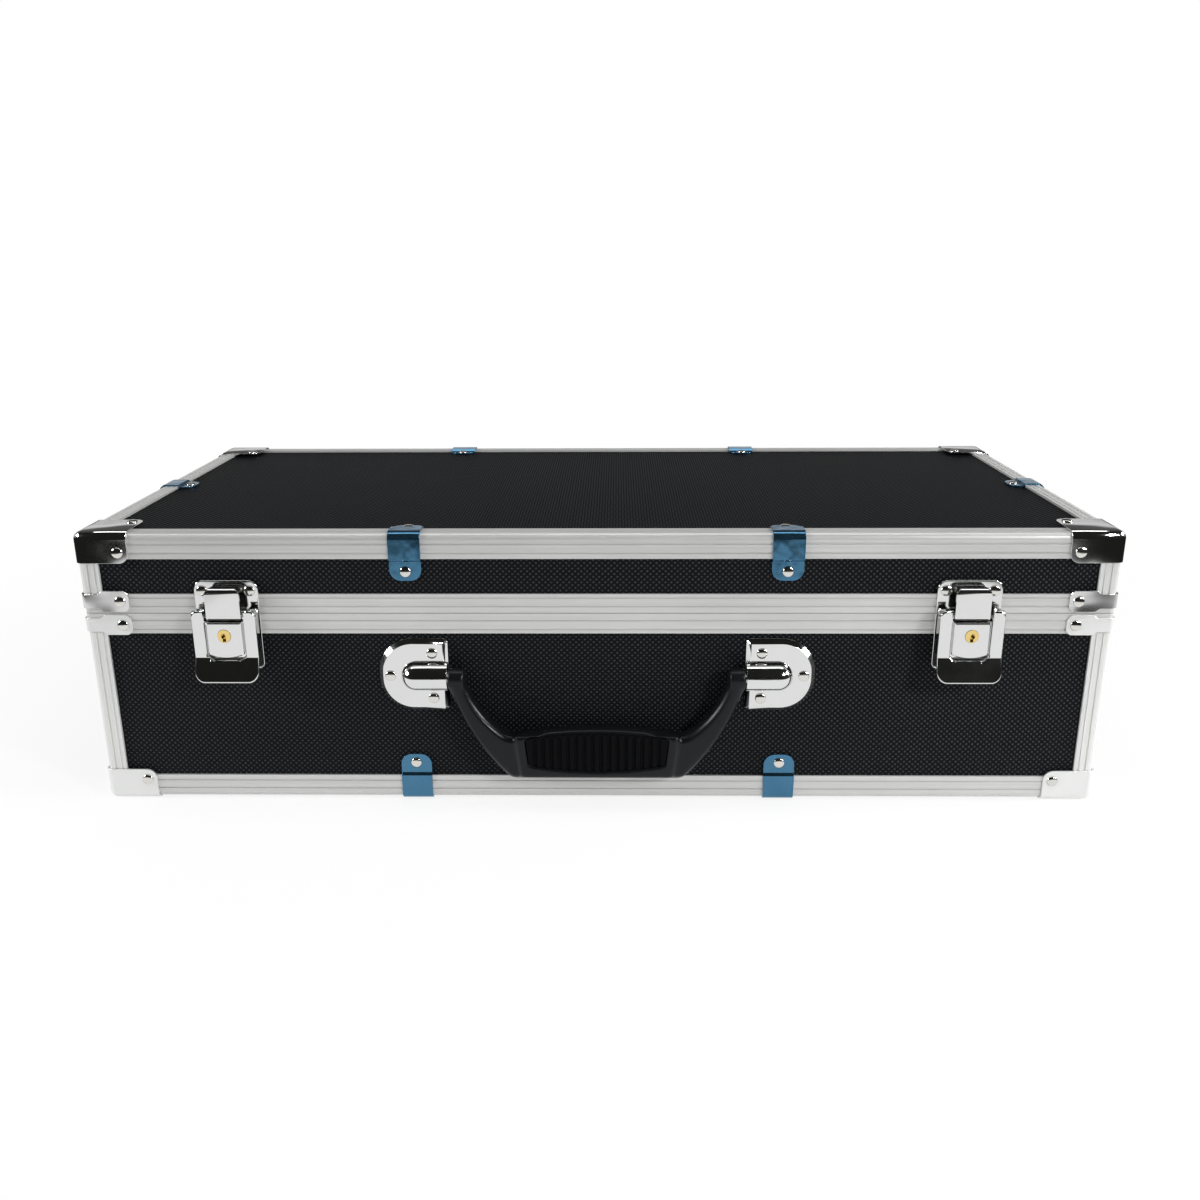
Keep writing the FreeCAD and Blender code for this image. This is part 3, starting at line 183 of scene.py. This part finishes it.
# Surroundings that mirrors show: where the white floor ends, the room, where the backdrop behind begins,
# and its stops as (height, level)
SWEEP_EDGE = (0.60, 0.66)
ROOM_TONE = (0.013, 0.013, 0.012)
BACKDROP_EDGE = (-0.1, 0.2)
BACKDROP_STOPS = (0.0, 0.75), (0.61, 0.65), (0.68, 0.12), (1.0, 0.05)

# Light on surfaces from all round, and lamps as (place, target, size, watts)
WHITE = (1.0, 1.0, 1.0)
EVEN_LIGHT = (0.21, 0.215, 0.22)
LAMPS = {
    "overhead": ((0.0, -0.1, 1.5), (0, 0, 0.1), (2.0, 0.4), 6.7),
    "front_right": ((1.0, -1.0, 0.72), (0.1, 0, 0.08), (0.22, 0.22), 10.0),
    "side_left": ((-1.2, -0.35, 0.5), (-0.1, 0, 0.08), (0.5, 0.3), 10.0),
    "side_right": ((1.2, -0.2, 0.5), (0.1, 0, 0.08), (0.5, 0.3), 10.0),
}


# Materials

def opaque(colour):
    """A colour with full alpha. The output of a node stays as it is."""
    return (*colour, 1.0) if isinstance(colour, tuple) else colour


def scaled_colour(colour, share):
    return tuple(part * share for part in colour)


class Nodes:
    """Short calls for the nodes of a tree."""

    def __init__(self, tree, coordinates):
        self.tree = tree
        self.place = self.add("ShaderNodeTexCoord").outputs[coordinates]

    def add(self, kind, **settings):
        node = self.tree.nodes.new(kind)
        for key, setting in settings.items():
            setattr(node, key, setting)
        return node

    def put(self, socket, value):
        """Link an output to a socket, or set the socket's own value."""
        if isinstance(value, bpy.types.NodeSocket):
            self.tree.links.new(value, socket)
        else:
            socket.default_value = value

    def math(self, operation, *values):
        node = self.add("ShaderNodeMath", operation=operation)
        for socket, value in zip(node.inputs, values):
            self.put(socket, value)
        return node.outputs[0]

    def weighed(self, first, first_share, second, second_share):
        """The sum of two values, each with its share."""
        left = self.math("MULTIPLY", first, first_share)
        right = self.math("MULTIPLY", second, second_share)
        return self.math("ADD", left, right)

    def scaled(self, scale):
        """The coordinates with a factor for each axis."""
        node = self.add("ShaderNodeVectorMath", operation="MULTIPLY")
        self.put(node.inputs[0], self.place)
        node.inputs[1].default_value = scale
        return node.outputs[0]

    def axis(self, name):
        """One of the coordinates."""
        node = self.add("ShaderNodeSeparateXYZ")
        self.put(node.inputs[0], self.place)
        return node.outputs[AXIS_INDEX[name]]

    def noise(self, scale, detail=3.0, stretch=(1, 1, 1), roughness=0.5):
        node = self.add("ShaderNodeTexNoise")
        self.put(node.inputs["Vector"], self.scaled(stretch))
        self.put(node.inputs["Scale"], scale)
        self.put(node.inputs["Detail"], detail)
        self.put(node.inputs["Roughness"], roughness)
        return node.outputs["Fac"]

    def ramp(self, value, low, high, start=0.0, end=1.0, shape="SMOOTHSTEP"):
        """A step of a value from one range to another."""
        node = self.add("ShaderNodeMapRange", interpolation_type=shape)
        ranges = {"From Min": low, "From Max": high, "To Min": start, "To Max": end}
        self.put(node.inputs["Value"], value)
        for key, limit in ranges.items():
            self.put(node.inputs[key], limit)
        return node.outputs["Result"]

    def blend(self, factor, first, second):
        """A colour between two colours."""
        node = self.add("ShaderNodeMix", data_type="RGBA")
        self.put(node.inputs["Factor"], factor)
        self.put(node.inputs["A"], opaque(first))
        self.put(node.inputs["B"], opaque(second))
        return node.outputs["Result"]


class Shader(Nodes):
    """A material with a principled shader, in object coordinates."""

    def __init__(self, name):
        self.material = bpy.data.materials.new(name)
        self.material.use_nodes = True
        super().__init__(self.material.node_tree, "Object")
        self.principled = self.tree.nodes["Principled BSDF"]

    def set(self, **values):
        """Set or link sockets of the principled shader, named with underscores for spaces."""
        for key, value in values.items():
            self.put(self.principled.inputs[key.replace("_", " ")], value)

    def bump(self, height, distance, strength=1.0):
        node = self.add("ShaderNodeBump")
        self.put(node.inputs["Height"], height)
        self.put(node.inputs["Distance"], distance)
        self.put(node.inputs["Strength"], strength)
        self.set(Normal=node.outputs["Normal"])


def board(name, along, up, strength, gloss):
    """Black plastic skin with a centred lattice of bumped dots over two axes, the tops of the dots painted
    lighter as a painted highlight.
    """
    shader = Shader(name)
    columns = shader.math("MULTIPLY", shader.axis(along), math.tau / DOT_PITCH_ALONG)
    rows = shader.math("MULTIPLY", shader.axis(up), math.tau / DOT_PITCH_UP)
    waves = shader.math("MULTIPLY", shader.math("COSINE", columns), shader.math("COSINE", rows))
    dots = shader.math("MAXIMUM", waves, 0.0)
    crown = shader.ramp(dots, 0.25, 0.9)
    cloud = shader.noise(9.0, detail=4.0)
    ground = shader.blend(cloud, *GROUND_COLOURS)
    # Painted highlight: the dots get a lighter colour than the skin, standing in for the light they catch
    dot_highlight = shader.blend(cloud, *DOT_HIGHLIGHT_COLOURS)
    shader.set(Base_Color=shader.blend(shader.math("MULTIPLY", crown, strength), ground, dot_highlight),
               Roughness=shader.ramp(dots, 0.0, 0.7, 0.75, 0.33), Specular_IOR_Level=gloss)
    shader.bump(dots, DOT_HEIGHT, strength)
    return shader.material


def trim(name, along, painted_light_share):
    """Satin aluminium with fine drawn lines along the extrusion, its colours made lighter by a share as
    painted light where the edging stands in more light.
    """
    shader = Shader(name)
    dark, light = (scaled_colour(colour, painted_light_share) for colour in TRIM_COLOURS)
    stretch = [LINES_ACROSS] * 3
    stretch[AXIS_INDEX[along]] = LINES_ALONG
    lines = shader.noise(1.0, detail=4.0, stretch=tuple(stretch), roughness=0.65)
    tone = shader.weighed(lines, 0.7, shader.noise(14.0), 0.3)
    shader.set(Base_Color=shader.blend(tone, dark, light), Metallic=0.4,
               Roughness=shader.ramp(lines, 0.3, 0.7, 0.30, 0.46))
    shader.bump(lines, LINE_DEPTH, 0.35)
    return shader.material


def crowned(shader, curvature):
    """Height of a slight crown round the middle of each corner of the case."""
    across = shader.math("ABSOLUTE", shader.axis("x"))
    back = shader.math("ABSOLUTE", shader.math("SUBTRACT", shader.axis("y"), CASE_MIDDLE_Y))
    squares = [shader.math("POWER", shader.math("SUBTRACT", place, middle), 2.0)
               for place, middle in ((across, CORNER_MIDDLE["x"]), (back, CORNER_MIDDLE["y"]))]
    return shader.math("MULTIPLY", shader.math("ADD", *squares), -curvature / 2)


def plated(name, colour, roughness, smudge, wave=0.0, crown=0.0, metallic=1.0):
    """Plated metal with faint smudges, fine scratches and the slow waves of pressed sheet."""
    shader = Shader(name)
    cloud = shader.noise(60.0, detail=5.0)
    swell = shader.noise(75.0, detail=0.0)
    scratch = shader.noise(1.0, detail=2.0, stretch=SCRATCH_DENSITY)
    shader.set(Base_Color=shader.blend(cloud, scaled_colour(colour, SMUDGE_SHARE), colour), Metallic=metallic,
               Roughness=shader.ramp(cloud, 0.35, 0.75, roughness, roughness + smudge))
    height = shader.weighed(scratch, SCRATCH_DEPTH, swell, wave)
    if crown:
        height = shader.math("ADD", height, crowned(shader, crown))
    shader.bump(height, 1.0)
    return shader.material


def filmed(name):
    """Bright sheet under a wrinkled blue film."""
    shader = Shader(name)
    wrinkle = shader.noise(95.0, detail=2.0, stretch=(1.0, 1.0, 0.6))
    cloud = shader.noise(40.0)
    shader.set(Base_Color=shader.blend(cloud, *FILM_COLOURS), Metallic=0.92,
               Roughness=shader.ramp(cloud, 0.3, 0.7, 0.10, 0.18))
    shader.bump(wrinkle, WRINKLE_DEPTH)
    return shader.material


def moulded(name, colour, roughness, grain, gloss):
    """Black moulding with a fine grain."""
    shader = Shader(name)
    cloud = shader.noise(30.0)
    fine = shader.noise(1400.0, detail=2.0)
    shader.set(Base_Color=shader.blend(cloud, colour, scaled_colour(colour, 1.5)), Specular_IOR_Level=gloss,
               Roughness=shader.ramp(cloud, 0.3, 0.7, roughness, roughness + 0.08))
    shader.bump(fine, grain)
    return shader.material


def flocked(name):
    """Short dark flock cloth."""
    shader = Shader(name)
    pile = shader.noise(2200.0)
    tone = shader.weighed(pile, 0.6, shader.noise(24.0), 0.4)
    shader.set(Base_Color=shader.blend(tone, *FLOCK_COLOURS), Roughness=0.95,
               Sheen_Weight=0.35, Sheen_Roughness=0.4)
    shader.bump(pile, PILE_DEPTH, 0.6)
    return shader.material


# Finishes as (kind, settings)
FINISHES = {
    "board_front": (board, dict(along="x", up="z", strength=1.0, gloss=0.15)),
    "board_side": (board, dict(along="y", up="z", strength=1.0, gloss=0.15)),
    "board_flat": (board, dict(along="x", up="y", strength=0.06, gloss=0.06)),
    # Painted light: edging along y and the upright posts are lighter copies of the same aluminium, standing
    # in for the light that falls on them
    "trim_x": (trim, dict(along="x", painted_light_share=1.0)),
    "trim_y": (trim, dict(along="y", painted_light_share=1.1)),
    "trim_z": (trim, dict(along="z", painted_light_share=1.2)),
    "chrome": (plated, dict(colour=(0.73, 0.735, 0.73), roughness=0.08, smudge=0.05, wave=0.3 * MM)),
    "corner": (plated, dict(colour=(0.76, 0.765, 0.76), roughness=0.07, smudge=0.05, wave=0.5 * MM,
                            crown=CORNER_CURVATURE)),
    "pressed": (plated, dict(colour=(0.69, 0.695, 0.69), roughness=0.11, smudge=0.08, wave=0.8 * MM,
                             crown=STRAP_CURVATURE)),
    "satin": (plated, dict(colour=(0.78, 0.785, 0.775), roughness=0.30, smudge=0.08, wave=0.6 * MM,
                           metallic=0.45)),
    "rivet": (plated, dict(colour=(0.70, 0.685, 0.65), roughness=0.12, smudge=0.08)),
    "plate": (plated, dict(colour=(0.68, 0.68, 0.67), roughness=0.24, smudge=0.10, wave=0.1 * MM)),
    "brass": (plated, dict(colour=(0.83, 0.62, 0.24), roughness=0.14, smudge=0.08)),
    "film": (filmed, {}),
    "handle": (moulded, dict(colour=(0.0040, 0.0044, 0.0054), roughness=0.24, grain=0.004 * MM, gloss=0.22)),
    "grip": (moulded, dict(colour=(0.0020, 0.0021, 0.0026), roughness=0.50, grain=0.02 * MM, gloss=0.05)),
    "lining": (flocked, {}),
}
MATERIALS = {name: kind(name, **settings) for name, (kind, settings) in FINISHES.items()}


def finish_of(node):
    """The finish of a node, by what it is and which way it runs."""
    if node.endswith("_panel"):
        if "left" in node or "right" in node:
            return "board_side"
        return "board_flat" if node in ("lid_top_panel", "base_bottom_panel") else "board_front"
    if node.endswith("_posts"):
        return "trim_z"
    if node in ("base_rim_corners", "base_bottom_corners"):
        return "satin"
    if node == "lid_rim_corners":
        return "pressed"
    if node == "lid_top_corners":
        return "corner"
    if node.endswith("_edge_clips"):
        return "film"
    if "_rim_" in node or "_edge_" in node:
        return "trim_y" if node.endswith(("_left", "_right")) else "trim_x"
    if node.endswith("_rivets"):
        return "rivet"
    if node.endswith("_lining"):
        return "lining"
    if node.startswith("hinge_") or "_pin" in node:
        return "plate"
    if node == "handle_bow":
        return "handle"
    if node == "handle_grip_pad":
        return "grip"
    return "brass" if node.startswith("lock_plug") else "chrome"


def paint(piece, finish):
    piece.data.materials.clear()
    piece.data.materials.append(MATERIALS[finish])


for label, item in NODES.items():
    paint(item, finish_of(label))


# Pieces

def linked(name, data):
    """A new object in the scene."""
    item = bpy.data.objects.new(name, data)
    bpy.context.scene.collection.objects.link(item)
    return item


def body_of(node):
    return NODES[node]["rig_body"]


def stand_for(node, mesh):
    """A new piece with this mesh in place of a CAD node."""
    piece = linked(f"{node}_piece", mesh)
    paint(piece, finish_of(node))
    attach(piece, body_of(node))
    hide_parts(node)
    return piece


def to_mesh(name, work, sharp_angle=None):
    """A smooth mesh from a work mesh, with the sharp edges it is given or those above an angle."""
    mesh = bpy.data.meshes.new(name)
    for face in work.faces:
        face.smooth = True
    work.to_mesh(mesh)
    work.free()
    if sharp_angle is not None:
        mesh.set_sharp_from_angle(angle=sharp_angle)
    return mesh


def applied(piece):
    """The mesh of a piece with its modifiers."""
    evaluated = piece.evaluated_get(bpy.context.evaluated_depsgraph_get())
    return bpy.data.meshes.new_from_object(evaluated)


def welded(node):
    """A node's mesh with its seams joined."""
    work = bmesh.new()
    work.from_mesh(NODES[node].data)
    bmesh.ops.remove_doubles(work, verts=work.verts, dist=WELD_DISTANCE)
    return work


def islands(work):
    """The separate solids of a mesh, each as a list of vertices."""
    seen = set()
    for first in work.verts:
        if first in seen:
            continue
        seen.add(first)
        island = []
        queue = [first]
        while queue:
            vertex = queue.pop()
            island.append(vertex)
            for edge in vertex.link_edges:
                other = edge.other_vert(vertex)
                if other not in seen:
                    seen.add(other)
                    queue.append(other)
        yield island


# Rivet heads

def head_seat(island):
    """Where a plain rivet head sits, as a placement with z outward, with its radius and height."""
    low = Vector(min(vertex.co[i] for vertex in island) for i in range(3))
    high = Vector(max(vertex.co[i] for vertex in island) for i in range(3))
    size = high - low
    middle = (low + high) / 2
    flat = min(range(3), key=lambda i: size[i])
    reach = max((vertex.co - middle).length for vertex in island)
    wide = max(vertex.co[flat] for vertex in island if (vertex.co - middle).length > RIVET_WIDE_SHARE * reach)
    outward = -1 if abs(wide - high[flat]) < abs(wide - low[flat]) else 1
    seat = middle.copy()
    seat[flat] = high[flat] if outward < 0 else low[flat]
    axis = Vector((0, 0, 0))
    axis[flat] = outward
    turn = axis.to_track_quat("Z", "Y").to_matrix().to_4x4()
    return Matrix.Translation(seat) @ turn, max(size) / 2, size[flat]


def head_outline(radius, height):
    """Rings of a domed head as (radius, height), from its seat to below its top."""
    yield radius, 0.0
    for ring in range(RIVET_RINGS):
        turn = math.radians(90) * ring / RIVET_RINGS
        rise = RIVET_RIM_SHARE + (1 - RIVET_RIM_SHARE) * math.sin(turn)
        yield radius * math.cos(turn), height * rise


def add_head(work, place, radius, height):
    """One domed head added to a work mesh."""
    angles = [math.tau * side / RIVET_SIDES for side in range(RIVET_SIDES)]
    rings = []
    for reach, rise in head_outline(radius, height):
        points = [Vector((reach * math.cos(angle), reach * math.sin(angle), rise)) for angle in angles]
        rings.append([work.verts.new(place @ point) for point in points])
    tip = work.verts.new(place @ Vector((0, 0, height)))
    sides = [(side, (side + 1) % RIVET_SIDES) for side in range(RIVET_SIDES)]
    for lower, upper in zip(rings, rings[1:]):
        for here, after in sides:
            work.faces.new((lower[here], lower[after], upper[after], upper[here]))
    for here, after in sides:
        work.faces.new((rings[-1][here], rings[-1][after], tip))
    work.faces.new(list(reversed(rings[0])))


def dome_heads(node):
    """Domed heads in the places of a node's plain ones."""
    plain = welded(node)
    work = bmesh.new()
    for island in islands(plain):
        add_head(work, *head_seat(island))
    plain.free()
    stand_for(node, to_mesh(f"{node}_heads", work, SHARP_ANGLE))


for rivets in ("lid_rivets", "base_rivets"):
    dome_heads(rivets)


# Rounded edges

def merge_flats(work):
    """Faces that lie in one plane made one."""
    bmesh.ops.dissolve_limit(work, angle_limit=FLAT_ANGLE, verts=work.verts, edges=work.edges)


def is_sheet_corner(edge, size):
    """Whether an edge goes through the sheet at a bevelled corner, between faces wide enough to round it."""
    if not edge.is_manifold or abs(edge.calc_length() - SHEET) >= SHEET_TOLERANCE:
        return False
    least, most = SHEET_CORNER_ANGLES
    narrowest = min(face.calc_area() for face in edge.link_faces) / SHEET
    return least < edge.calc_face_angle() < most and narrowest > size


def round_sheet_corners(work, size):
    """Bevelled corners of sheet metal made round."""
    through = [edge for edge in work.edges if is_sheet_corner(edge, size)]
    bmesh.ops.bevel(work, geom=through, offset=size, offset_type="OFFSET", segments=SHEET_CORNER_STEPS,
                    profile=0.5, affect="EDGES", clamp_overlap=False)


def is_fine(edge):
    """Whether an edge or one that meets it is too short to be rounded."""
    return any(link.calc_length() < FINE_EDGE for vertex in edge.verts for link in vertex.link_edges)


def mark_edges(work, front_only):
    """Bevel weights for edges sharper than folds and the facets of a curve.
    Those left out are marked as sharp, and the heights of folds are given back."""
    weights = work.edges.layers.float.new("bevel_weight_edge")
    folds = set()
    for edge in work.edges:
        if not edge.is_manifold or edge.calc_face_angle() < FOLD_ANGLE:
            continue
        fold = edge.calc_face_angle() < ROUND_ANGLE
        hidden = front_only and not any(face.normal.y < FRONT_NORMAL_Y for face in edge.link_faces)
        if fold:
            folds.update(vertex.co.z for vertex in edge.verts)
        if fold or hidden or is_fine(edge):
            edge.smooth = False
        else:
            edge[weights] = 1.0
    return folds


def crease(mesh, heights):
    """Sharp edges all along level folds, over the rounded edges too."""
    work = bmesh.new()
    work.from_mesh(mesh)
    for edge in work.edges:
        first, second = (vertex.co.z for vertex in edge.verts)
        if any(max(abs(first - height), abs(second - height)) < LEVEL_TOLERANCE for height in heights):
            edge.smooth = False
    work.to_mesh(mesh)
    work.free()


def softened(node, width, segments=3, corner_round=None, front_only=False, joined=JOINED_EDGE):
    """A copy of a node with rounded edges and flat faces that stay flat.
    Edges up to the length joined are closed first. Sheet corners are made round where a size is given."""
    work = welded(node)
    merge_flats(work)
    bmesh.ops.dissolve_degenerate(work, dist=joined, edges=work.edges)
    merge_flats(work)
    if corner_round:
        round_sheet_corners(work, corner_round)
    folds = mark_edges(work, front_only)
    draft = linked("draft", to_mesh(f"{node}_draft", work))
    bevel = draft.modifiers.new("rounding", "BEVEL")
    bevel.width = width
    bevel.segments = segments
    bevel.limit_method = "WEIGHT"
    bevel.use_clamp_overlap = False
    mesh = applied(draft)
    mesh.name = f"{node}_rounded"
    bpy.data.objects.remove(draft)
    crease(mesh, folds)
    normals = stand_for(node, mesh).modifiers.new("flat_faces", "WEIGHTED_NORMAL")
    normals.weight = 100
    normals.keep_sharp = True


softened("handle_brackets", 0.15 * MM)
softened("latch_keepers", 0.6 * MM, front_only=True)
softened("latch_base_plates", 0.3 * MM)
for side in ("left", "right"):
    softened(f"latch_lever_{side}", 1.0 * MM, segments=4, front_only=True)
    softened(f"latch_lock_case_{side}", 0.12 * MM)
    softened(f"latch_hasp_{side}", 0.15 * MM)
for leaves in ("hinge_lid_leaves", "hinge_base_leaves"):
    softened(leaves, 0.2 * MM)
softened("handle_grip_pad", 0.45 * MM)
for clips in ("lid_edge_clips", "base_edge_clips"):
    softened(clips, SHEET_EDGE, corner_round=2.1 * MM)
for straps in ("lid_rim_corners", "base_rim_corners"):
    softened(straps, SHEET_EDGE, corner_round=0.9 * MM, joined=STRAP_JOINED_EDGE)
for corners in ("lid_top_corners", "base_bottom_corners"):
    softened(corners, SHEET_EDGE, corner_round=1.8 * MM)


# Moulded bow

def moulded_bow(node):
    """The handle's bow with its edges melted round, as a moulding."""
    work = welded(node)
    mesh = bpy.data.meshes.new("bow_work")
    work.to_mesh(mesh)
    work.free()
    draft = linked("bow_work", mesh)
    remesh = draft.modifiers.new("remesh", "REMESH")
    remesh.mode = "VOXEL"
    remesh.voxel_size = BOW_VOXEL
    smooth = draft.modifiers.new("smooth", "SMOOTH")
    smooth.factor = BOW_SMOOTHING
    smooth.iterations = BOW_SMOOTHING_STEPS
    thin = draft.modifiers.new("thin", "DECIMATE")
    thin.ratio = BOW_FACES_SHARE
    bow = applied(draft)
    bpy.data.objects.remove(draft)
    bow.name = "handle_bow_moulded"
    bow.shade_smooth()
    stand_for(node, bow)


moulded_bow("handle_bow")


# Linings

def plan_loop(box, inset, radius, height):
    """A rounded rectangle inside a box's plan, as points in turn."""
    low, high = box
    points = []
    for start, side_x, side_y in ((0, 1, 1), (90, -1, 1), (180, -1, -1), (270, 1, -1)):
        middle_x = high[0] - inset - radius if side_x > 0 else low[0] + inset + radius
        middle_y = high[1] - inset - radius if side_y > 0 else low[1] + inset + radius
        for step in range(LINING_STEPS + 1):
            angle = math.radians(start + 90 * step / LINING_STEPS)
            x = middle_x + radius * math.cos(angle)
            y = middle_y + radius * math.sin(angle)
            points.append(Vector((x, y, height)))
    return points


def lining_profile(depth):
    """Steps of a lining from its outer foot over its rolled rim to its floor.
    Each is (inset, depth from the rim)."""
    roll = LINING_WALL / 2
    yield 0.0, depth
    for step in range(2 * LINING_STEPS + 1):
        angle = math.radians(180) * step / (2 * LINING_STEPS)
        yield roll - roll * math.cos(angle), roll - roll * math.sin(angle)
    for step in range(LINING_STEPS + 1):
        angle = math.radians(90) * step / LINING_STEPS
        yield (LINING_WALL + LINING_CURVE * (1 - math.cos(angle)),
               depth - LINING_WALL - LINING_CURVE * (1 - math.sin(angle)))
    for spread, share in LINING_RISES:
        yield LINING_WALL + LINING_CURVE + spread, depth - LINING_WALL - share * LINING_CROWN


def cloth_lining(node, opens_up):
    """A flock-covered liner with soft inner corners and a rolled rim."""
    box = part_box(node)
    bottom, top = box[0][2], box[1][2]
    work = bmesh.new()
    loops = []
    for inset, down in lining_profile(top - bottom):
        height = top - down if opens_up else bottom + down
        radius = LINING_OUTER_ROUND + (LINING_CURVE - LINING_OUTER_ROUND) * min(inset / LINING_WALL, 1.0)
        loops.append([work.verts.new(point) for point in plan_loop(box, inset, radius, height)])
    for outer, inner in zip(loops, loops[1:]):
        for here in range(len(outer)):
            after = (here + 1) % len(outer)
            work.faces.new((outer[here], outer[after], inner[after], inner[here]))
    work.faces.new(loops[0])
    work.faces.new(loops[-1])
    bmesh.ops.recalc_face_normals(work, faces=work.faces)
    piece = stand_for(node, to_mesh(f"{node}_cloth", work, SHARP_ANGLE))


cloth_lining("base_lining", True)
cloth_lining("lid_lining", False)


# Studio

def floor_material():
    """Floor that camera and mirror rays see as white, with a share of its own shading for the shadow."""
    shader = Shader("studio_floor")
    shader.set(Base_Color=shader.blend(shader.noise(3.0), *FLOOR_COLOURS), Roughness=0.9)
    path = shader.add("ShaderNodeLightPath").outputs
    mirrored = shader.math("MAXIMUM", path["Is Glossy Ray"], path["Is Transmission Ray"])
    seen = shader.math("MAXIMUM", path["Is Camera Ray"], mirrored)
    away = shader.add("ShaderNodeVectorMath", operation="LENGTH")
    shader.put(away.inputs[0], shader.place)
    distance = away.outputs["Value"]
    dark = shader.math("MULTIPLY", mirrored, shader.ramp(distance, *SWEEP_EDGE))
    glow = shader.add("ShaderNodeEmission")
    shader.put(glow.inputs["Color"], shader.blend(dark, WHITE, ROOM_TONE))
    white = shader.ramp(distance, *SHADOW_FADE, *WHITE_SHARES)
    mix = shader.add("ShaderNodeMixShader")
    shader.put(mix.inputs["Fac"], shader.math("MULTIPLY", seen, white))
    shader.put(mix.inputs[1], shader.principled.outputs["BSDF"])
    shader.put(mix.inputs[2], glow.outputs["Emission"])
    shader.put(shader.tree.nodes["Material Output"].inputs["Surface"], mix.outputs["Shader"])
    return shader.material


def make_floor():
    work = bmesh.new()
    bmesh.ops.create_grid(work, x_segments=FLOOR_CELLS, y_segments=FLOOR_CELLS, size=FLOOR_HALF_SIZE)
    mesh = bpy.data.meshes.new("floor")
    work.to_mesh(mesh)
    work.free()
    mesh.materials.append(floor_material())
    linked("floor", mesh)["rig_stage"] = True


def make_world():
    """White to the camera, even light for the surfaces, and a dark room with a pale backdrop for mirrors."""
    world = bpy.data.worlds.new("studio")
    bpy.context.scene.world = world
    world.use_nodes = True
    sky = Nodes(world.node_tree, "Generated")
    backdrop = sky.add("ShaderNodeValToRGB")
    sky.put(backdrop.inputs["Fac"], sky.ramp(sky.axis("z"), -1.0, 1.0, shape="LINEAR"))
    elements = backdrop.color_ramp.elements
    while len(elements) < len(BACKDROP_STOPS):
        elements.new(0.5)
    for element, (position, level) in zip(elements, BACKDROP_STOPS):
        element.position = position
        element.color = (level, level, level, 1.0)
    behind = sky.ramp(sky.axis("y"), *BACKDROP_EDGE, shape="LINEAR")
    room = sky.blend(behind, ROOM_TONE, backdrop.outputs["Color"])
    path = sky.add("ShaderNodeLightPath").outputs
    unseen = sky.blend(path["Is Glossy Ray"], EVEN_LIGHT, room)
    seen = sky.blend(path["Is Camera Ray"], unseen, WHITE)
    sky.put(world.node_tree.nodes["Background"].inputs["Color"], seen)


def make_lamp(name, place, target, size, watts):
    """A rectangular lamp that points at a target."""
    light = bpy.data.lights.new(name, "AREA")
    light.shape = "RECTANGLE"
    light.size, light.size_y = size
    light.energy = watts
    lamp = linked(name, light)
    lamp.location = place
    lamp.rotation_euler = (Vector(target) - Vector(place)).to_track_quat("-Z", "Y").to_euler()


def make_camera():
    """The camera of the photograph's view."""
    camera = bpy.data.cameras.new("camera")
    camera.sensor_width = SENSOR_WIDTH
    camera.lens = FOCAL_PIXELS / FRAME_PIXELS * SENSOR_WIDTH
    camera.clip_start = CLIP_START
    ahead = Vector((math.sin(CAMERA_YAW), math.cos(CAMERA_YAW), 0)) * math.cos(CAMERA_PITCH)
    forward = ahead - Vector((0, 0, math.sin(CAMERA_PITCH)))
    level = Vector((math.cos(CAMERA_YAW), -math.sin(CAMERA_YAW), 0))
    upward = level.cross(forward)
    right = math.cos(CAMERA_ROLL) * level + math.sin(CAMERA_ROLL) * upward
    above = math.cos(CAMERA_ROLL) * upward - math.sin(CAMERA_ROLL) * level
    turn = Matrix((right, above, -forward)).transposed().to_4x4()
    item = linked("camera", camera)
    item.matrix_world = Matrix.Translation(CAMERA_PLACE) @ turn
    bpy.context.scene.camera = item


make_floor()
make_world()
for label, lamp in LAMPS.items():
    make_lamp(label, *lamp)
make_camera()
bpy.context.scene.view_settings.view_transform = "Standard"

boxes = {"cad": CAD_BOX, "visual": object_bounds()}
{name: [list(corner) for corner in box] for name, box in boxes.items()}
